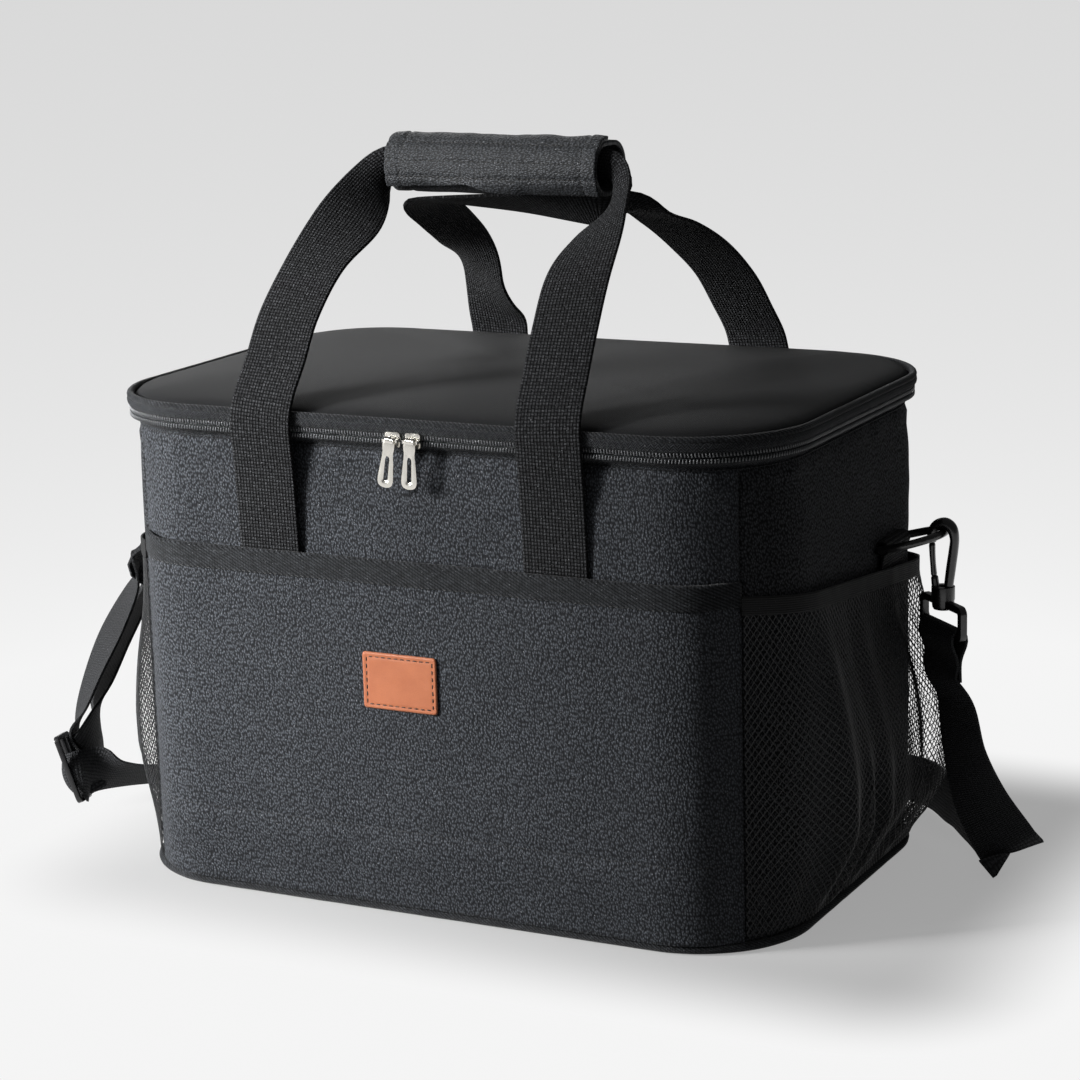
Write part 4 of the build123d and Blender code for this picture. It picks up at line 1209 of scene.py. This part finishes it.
def flap_proud(x, girth):
    edge = wrap_half - abs(x)
    lower = ease(girth, front_mid - 0.004, flap_end)
    proud = flap_gap + flap_thick + 0.0003 * ease(0.0078 - edge, -0.0008, 0.0008)
    proud -= 0.0006 * hump(edge, 0.0082, 0.0009)
    for row in stitch_rows:
        proud -= 0.0006 * hump(girth - flap_start, row, 0.0012)
    proud += 0.0008 * ripple(x, girth, 0.020, 3.3) + 0.0004 * ripple(x, girth, 0.009, 7.3)
    proud += lower * (0.0034 * hump(x, -0.012, 0.020) + 0.0008 * math.sin(x * 80 + 1.0))
    return proud


def place(across, along):
    x = -wrap_half - 0.001 + (2 * wrap_half + 0.002) * along
    low_edge = flap_end + 0.0012 * math.sin(x * 42 + 0.6) + 0.02 * x
    low_edge -= 0.0052 * math.exp(-abs((x + 0.014) / 0.021) ** 1.5)
    girth = flap_start - flap_sewn + (low_edge - flap_start + flap_sewn) * across
    return wrap_point(x, girth, flap_proud(x, girth))


flap = cloth("wrap_flap_cloth", 50, 84, (flap_end - flap_start + flap_sewn, 2 * wrap_half), place)
apply(flap, "SOLIDIFY", thickness=flap_thick, offset=-1.0)
round_edges(flap, 0.0006, 2, 50)
finish(flap, wrap_cloth, "wrap_fabric", "", "wrap_flap")
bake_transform(flap)

fastener_tape = solid_finish("fastener_tape", (0.012, 0.012, 0.013), (0.03, 0.03, 0.032), 0.9, 1200, 0.0008)
wear(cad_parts["wrap_fastener_strip"], fastener_tape)

stitch = capsule("wrap_stitch", 0.00026, 0.0021)
wrap_pitch, wrap_margin = 0.0031, 0.009
spots = []
for row in stitch_rows:
    for i in range(int(2 * (wrap_half - wrap_margin) / wrap_pitch)):
        x = -wrap_half + wrap_margin + i * wrap_pitch
        spot = wrap_point(x, flap_start + row, flap_proud(x, flap_start + row) + 0.0001)
        spots.append(Matrix.Translation(spot) @ Matrix.Rotation(math.pi / 2, 4, "Y"))
for sign in (-1, 1):
    for i in range(int((flap_end - flap_start) / wrap_pitch)):
        girth = flap_start + 0.002 + i * wrap_pitch
        x = sign * (wrap_half - 0.0085)
        here, there = (wrap_point(x, g, flap_proud(x, g) + 0.0001) for g in (girth, girth + 0.001))
        spots.append(Matrix.Translation(here) @ (there - here).to_track_quat("Z", "X").to_matrix().to_4x4())
finish(many("wrap_stitches", stitch, spots), thread_cotton, "thread", "handle_flap")


# Zip sliders and pulls -------------------------------------------------------
# Two die-cast sliders ride on the coils. Each has a flat pull with a long slot,
# hung from a bar across the slider's crown. Both are nickel plated.

nickel = solid_finish("nickel_plate", (0.78, 0.755, 0.70), (0.70, 0.67, 0.61), 0.22, 260, 0.00004, metal=1.0)


def eased(name, node_name, edge, surface, slot, body):
    """A cast or moulded piece: its loose faces merged and its sharp edges rounded over."""
    piece = added(name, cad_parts[node_name].data.copy())
    weld(piece)
    bpy.ops.object.mode_set(mode="EDIT")
    bpy.ops.mesh.select_all(action="SELECT")
    bpy.ops.mesh.dissolve_limited(angle_limit=math.radians(1.0))
    bpy.ops.object.mode_set(mode="OBJECT")
    round_edges(piece, edge, 3, 28, 40, use_clamp_overlap=True)
    finish(piece, surface, slot, body, node_name)


pull_outline = [(0, 0.2712), (0.0019, 0.2708), (0.0031, 0.2694), (0.0033, 0.2670), (0.0029, 0.2642), (0.0031, 0.2605),
                (0.0037, 0.2555), (0.0043, 0.2505), (0.0043, 0.2475), (0.0032, 0.2454), (0, 0.2446)]
slot_half, slot_low, slot_high = 0.0017, 0.2476, 0.2618
bar_y, bar_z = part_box("pull_left")[0].y + 0.0022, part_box("pull_left")[1].z - 0.0022


def tube(name, stations, sides=12):
    """A round bar through stations of (centre, side, face, half width, half thickness), with domed ends."""
    points = [(*c, *a, *b, u, v) for c, a, b, u, v in stations]
    line = even_shares(points, 6 * len(points))[0]
    rows = len(line) - 1

    def place(across, along):
        values = smooth_line(points, line[round(along * rows)])
        centre, side, face = Vector(values[:3]), Vector(values[3:6]).normalized(), Vector(values[6:9]).normalized()
        near_end = min(along, 1 - along) * rows / 2.0
        dome = math.sqrt(1 - (1 - min(1.0, near_end + 0.02)) ** 2)
        angle = -2 * math.pi * across
        return centre + (side * (values[9] * math.cos(angle)) + face * (values[10] * math.sin(angle))) * dome

    piece = cloth(name, sides, rows, (0.01, 0.05), place)
    weld(piece)
    return piece


def join(*pieces):
    bpy.ops.object.select_all(action="DESELECT")
    for piece in pieces:
        piece.select_set(True)
    bpy.context.view_layer.objects.active = pieces[0]
    bpy.ops.object.join()
    return pieces[0]


def zip_pull(side, x, lean):
    """A tapered plate with a long slot, rolled over the slider's bar at its top."""
    right = [(a, z, 0) for a, z in pull_outline]
    outline = right[:-1] + [(-a, z, 0) for a, z, _ in reversed(right[1:])] + [right[0]]
    middle = bar_y - 0.0008

    def place(across, along):
        a, z, _ = smooth_line(outline, across)
        angle = math.atan2(z - (slot_low + slot_high) / 2, a * 2.2)
        reach = slot_high - slot_low - 2 * slot_half
        inner_z = (slot_low + slot_high) / 2 + math.copysign(reach / 2, math.sin(angle)) + slot_half * math.sin(angle)
        inner_a = slot_half * math.cos(angle)
        bulge = middle - 0.0004 * math.sin(math.pi * along)
        return Vector((a + (inner_a - a) * along, bulge, z + (inner_z - z) * along))

    plate = cloth(f"zip_pull_{side}", 56, 6, (0.01, 0.01), place)
    weld(plate)
    apply(plate, "SOLIDIFY", thickness=0.0016, offset=0.0)
    apply(plate, "BEVEL", width=0.0004, segments=3, limit_method="ANGLE", angle_limit=math.radians(40))
    barrel = tube("pull_barrel", [((dx, bar_y, bar_z), (0, 1, 0), (0, 0, 1), 0.0021, 0.0021)
                                  for dx in (-0.0031, -0.001, 0.001, 0.0031)], sides=20)
    piece = join(plate, barrel)
    tilt = Matrix.Rotation(lean, 4, "Y")
    pivot = Matrix.Translation((0, 0, bar_z))
    piece.data.transform(Matrix.Translation((x, 0, 0)) @ pivot @ tilt @ pivot.inverted())
    bpy.ops.object.shade_smooth_by_angle(angle=math.radians(40))
    finish(piece, nickel, "nickel", f"pull_{side}", f"pull_{side}")


for side, lean in (("left", 0.14), ("right", 0.04)):
    eased(f"zip_slider_{side}", f"slider_{side}", 0.0007, nickel, "nickel", f"slider_{side}")
    low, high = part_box(f"pull_{side}")
    zip_pull(side, (low.x + high.x) / 2, lean)


# Rings, hooks and strap loops ------------------------------------------------
# Moulded black plastic. A D-ring hangs from a sewn webbing tab on each side, a
# snap hook with a sprung tongue clips to it, and the strap's loop swivels below.

black_plastic = solid_finish("black_plastic", (0.012, 0.012, 0.013), (0.018, 0.018, 0.019), 0.30, 240, 0.00012,
                             coat=0.25)

for side in ("left", "right"):
    eased(f"plastic_ring_{side}", f"d_ring_{side}", 0.0003, black_plastic, "black_plastic", f"d_ring_{side}")
    eased(f"swivel_loop_{side}", f"strap_loop_{side}", 0.0009, black_plastic, "black_plastic", "bag")
eased("slide_adjuster", "strap_adjuster", 0.0008, black_plastic, "black_plastic", "bag")

ring_bar_x, ring_y, ring_z = 0.2069, 0.048, 0.190
eye_radius = 0.0038
tab_wide = 0.036
ring_reach = 0.010 + webbing_wide / 2 + 0.00225
tilt = math.radians(15)
far_x = ring_bar_x + ring_reach * math.cos(tilt)
far_z = ring_z + ring_reach * math.sin(tilt)
lean = math.radians(48)
down_left = Vector((-math.sin(lean), 0, -math.cos(lean)))
spine_left = Vector((-math.cos(lean), 0, math.sin(lean)))


def snap_hook(side, origin, down, spine):
    """A drop-shaped hook that narrows to a round collar, and its thin straight tongue."""
    depth = Vector((0, 1, 0))

    def at(a, drop, wide, thick, way):
        along = (spine * way[0] - down * way[1]).normalized()
        flat = along.cross(depth)
        centre = origin + spine * (a / 1000) + down * (drop / 1000)
        return tuple(centre), tuple(flat), tuple(depth), wide / 1000, thick / 1000

    body = tube(f"snap_hook_{side}", [
        at(2.4, 36.0, 2.6, 3.0, (0, 1)), at(3.2, 30.0, 2.6, 3.0, (0.15, 1)), at(4.5, 20.0, 2.7, 3.2, (0.13, 1)),
        at(6.0, 9.0, 2.6, 3.4, (0.1, 1)), at(6.5, 3.0, 2.5, 3.6, (0, 1)), at(5.3, -2.4, 3.0, 3.9, (-0.6, 0.8)),
        at(2.4, -5.1, 3.3, 4.0, (-0.95, 0.3)), at(-1.2, -5.3, 3.4, 4.0, (-1, 0)),
        at(-4.8, -3.0, 3.1, 3.8, (-0.7, -0.7)), at(-6.4, 1.2, 2.9, 3.4, (-0.2, -1)),
        at(-6.6, 6.4, 2.3, 3.1, (0.02, -1))], sides=16)
    foot = tube("hook_foot", [at(-5.2, 24.4, 1.9, 2.6, (-0.1, 1)), at(-4.5, 30.0, 2.1, 2.8, (-0.14, 1)),
                              at(-3.0, 37.0, 2.2, 2.9, (-0.2, 1))], sides=12)
    collar = tube("hook_collar", [at(0, d, r, r, (0, 1)) for d, r in (
        (33.6, 5.4), (34.4, 6.1), (36.0, 6.3), (39.0, 6.3), (41.6, 6.2), (43.0, 5.6), (43.9, 4.9))], sides=24)
    finish(join(body, foot, collar), black_plastic, "black_plastic", f"hook_{side}", f"hook_{side}")
    tongue = tube(f"hook_tongue_{side}", [
        at(-6.6, 5.6, 1.8, 2.5, (0, -1)), at(-6.4, 12.0, 1.6, 2.4, (0.05, -1)),
        at(-5.9, 19.0, 1.5, 2.4, (0.09, -1)), at(-5.3, 25.4, 1.7, 2.5, (0.1, -1))], sides=12)
    finish(tongue, black_plastic, "black_plastic", f"gate_{side}", f"gate_{side}")


snap_hook("right", Vector((far_x, ring_y, far_z)), Vector((0, 0, -1)), Vector((1, 0, 0)))
snap_hook("left", Vector((-far_x, ring_y, far_z)), down_left, spine_left)


def ring_tab(side):
    """A short doubled webbing that goes round the ring's bar."""
    sign = 1 if side == "right" else -1
    near = half_wide + 0.0009
    route = [(near + 0.0034, 0.163), (near + 0.0034, 0.172), (near + 0.0040, 0.180)]
    for degrees in (-70, -30, 10, 50, 90, 130, 170, 210):
        a = math.radians(degrees)
        route.append((ring_bar_x + eye_radius * math.cos(a), ring_z + eye_radius * math.sin(a)))
    route += [(near, 0.184), (near, 0.175), (near, 0.163)]
    stations = [(sign * x, ring_y, z, 0, sign, 0, tab_wide) for x, z in route]
    piece, length = webbing(f"ring_tab_{side}", stations, 0.0014, step=0.0022, columns=8)
    finish(piece, webbing_cloth, "webbing", "bag", f"d_ring_tab_{side}")


ring_tab("right")
ring_tab("left")


# Shoulder strap --------------------------------------------------------------
# One long black webbing, sewn round the right loop, lying down and behind the
# bag, threaded through the slide adjuster and up to the left loop, then back
# down to be sewn to the adjuster's middle bar.

strap_thick = 0.0015
loop_bend = 0.0044
pair = (strap_thick + 0.0004) / 2
adjuster_low, adjuster_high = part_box("strap_adjuster")
adjuster_centre = (adjuster_low + adjuster_high) / 2
adjuster_along = Vector((-0.36, 0.0, 0.93)).normalized()
adjuster_across = Vector((-0.35, 0.93, -0.135)).normalized()
adjuster_face = adjuster_along.cross(adjuster_across)


def round_bar(centre, away, out, side):
    """Webbing that comes up to a bar on its outer side, goes round it and back down."""
    near = [away * 0.026 + out * pair, away * 0.014 + out * pair, away * 0.0045 + out * loop_bend]
    arc = []
    for degrees in (0, 45, 90, 135, 180):
        a = math.radians(degrees)
        arc.append(out * (loop_bend * math.cos(a)) - away * (loop_bend * math.sin(a)))
    far = [away * 0.0045 - out * loop_bend, away * 0.014 - out * pair, away * 0.026 - out * pair]
    return [(*(centre + p), *side, webbing_wide) for p in near + arc + far]


def at_adjuster(depth, height, slide=0.0, wide=webbing_wide):
    spot = adjuster_centre + adjuster_across * depth + adjuster_face * height + adjuster_along * slide
    return (*spot, *adjuster_along, wide)


def loose(points):
    return [(x / 1000, y / 1000, z / 1000, *side, webbing_wide) for (x, y, z), side in points]


bar_drop = 0.056
turn = math.radians(-42)
up = Vector((0, 0, 1))
right_end = round_bar(Vector((far_x, ring_y, far_z - bar_drop)), -up, Vector((-math.sin(turn), math.cos(turn), 0)),
                      Vector((math.cos(turn), math.sin(turn), 0)))
left_end = round_bar(Vector((-far_x, ring_y, far_z)) + down_left * bar_drop, down_left, spine_left, Vector((0, -1, 0)))
fall = loose([
    ((245, 48, 100), (0.78, -0.62, 0.05)), ((250, 49, 72), (0.8, -0.52, 0.25)),
    ((260, 50, 43), (0.76, -0.25, 0.58)), ((274.5, 50.5, 20), (0.67, -0.03, 0.74)),
    ((277.5, 50.8, 15.4), (0.655, 0, 0.756)), ((274.5, 54, 15.4), (0.64, -0.02, 0.76)),
    ((258, 72, 16.6), (0.46, -0.2, 0.86)), ((236, 97, 17.4), (0.3, -0.35, 0.87)),
    ((215.5, 121, 17.6), (0.25, -0.42, 0.87)), ((186, 148, 17.7), (0.2, -0.42, 0.88)),
    ((130, 163, 17.4), (0.05, -0.5, 0.86)), ((60, 167, 15.9), (0, -0.62, 0.78)),
    ((-20, 168, 14.2), (0, -0.72, 0.69)), ((-100, 168, 12.2), (0, -0.82, 0.57)),
    ((-160, 163, 10.2), (0.1, -0.88, 0.45)), ((-204, 138, 9.6), (0.6, -0.68, 0.42)),
    ((-231, 100, 10.2), (0.86, -0.2, 0.46)), ((-237, 60, 10.8), (0.86, 0, 0.5)),
    ((-243, 28, 11.4), (0.75, -0.4, 0.53)), ((-260, 6, 11.8), (0.45, -0.7, 0.55)),
    ((-281, -12, 13.2), (0.25, -0.75, 0.61)), ((-293, -26, 16.4), (0, -0.62, 0.78)),
])
lower = [at_adjuster(d / 1000, h / 1000, -0.005, 0.028) for d, h in (
    (-8.2, -5.5), (-7.2, -2.5), (-6.2, 2.0), (-3, 3.6), (3, 3.6), (6.2, 2.0), (7.2, -2.5), (8.6, -4.6))]
rise = loose([
    ((-312.5, -20, 33), (0.15, -0.56, 0.8)), ((-315, -11, 48), (0.64, -0.57, 0.5)),
    ((-314, 3, 70), (0.78, -0.5, 0.38)), ((-310, 22, 97), (0.83, -0.47, 0.27)),
    ((-305, 40, 122), (0.7, -0.68, 0.2)),
])
back = loose([
    ((-301, 58, 128), (0.6, -0.78, 0.1)), ((-307.5, 48, 106), (0.74, -0.63, 0.2)),
    ((-312, 30, 82), (0.78, -0.56, 0.3)), ((-313.5, 10, 58), (0.76, -0.56, 0.36)),
    ((-308, -2, 41), (0.3, -0.58, 0.76)),
])
sewn = [at_adjuster(d / 1000, h / 1000) for d, h in ((6.5, -9.5), (2.5, -6.5), (0, -2.8))]
strap_cloth = cloth_finish("strap_cloth", matt_weave, (0.0024, 0.0012),
                           (0.0045, 0.0047, 0.0052), (0.036, 0.038, 0.042), 0.3, 0.0005, sheen=0.03, mottle=0.2,
                           gloss_level=0.3)
strap, strap_length = webbing("shoulder_strap_webbing", right_end + fall + lower + rise + left_end + back + sewn,
                              strap_thick, step=0.003)
finish(strap, strap_cloth, "webbing", "bag", "shoulder_strap")
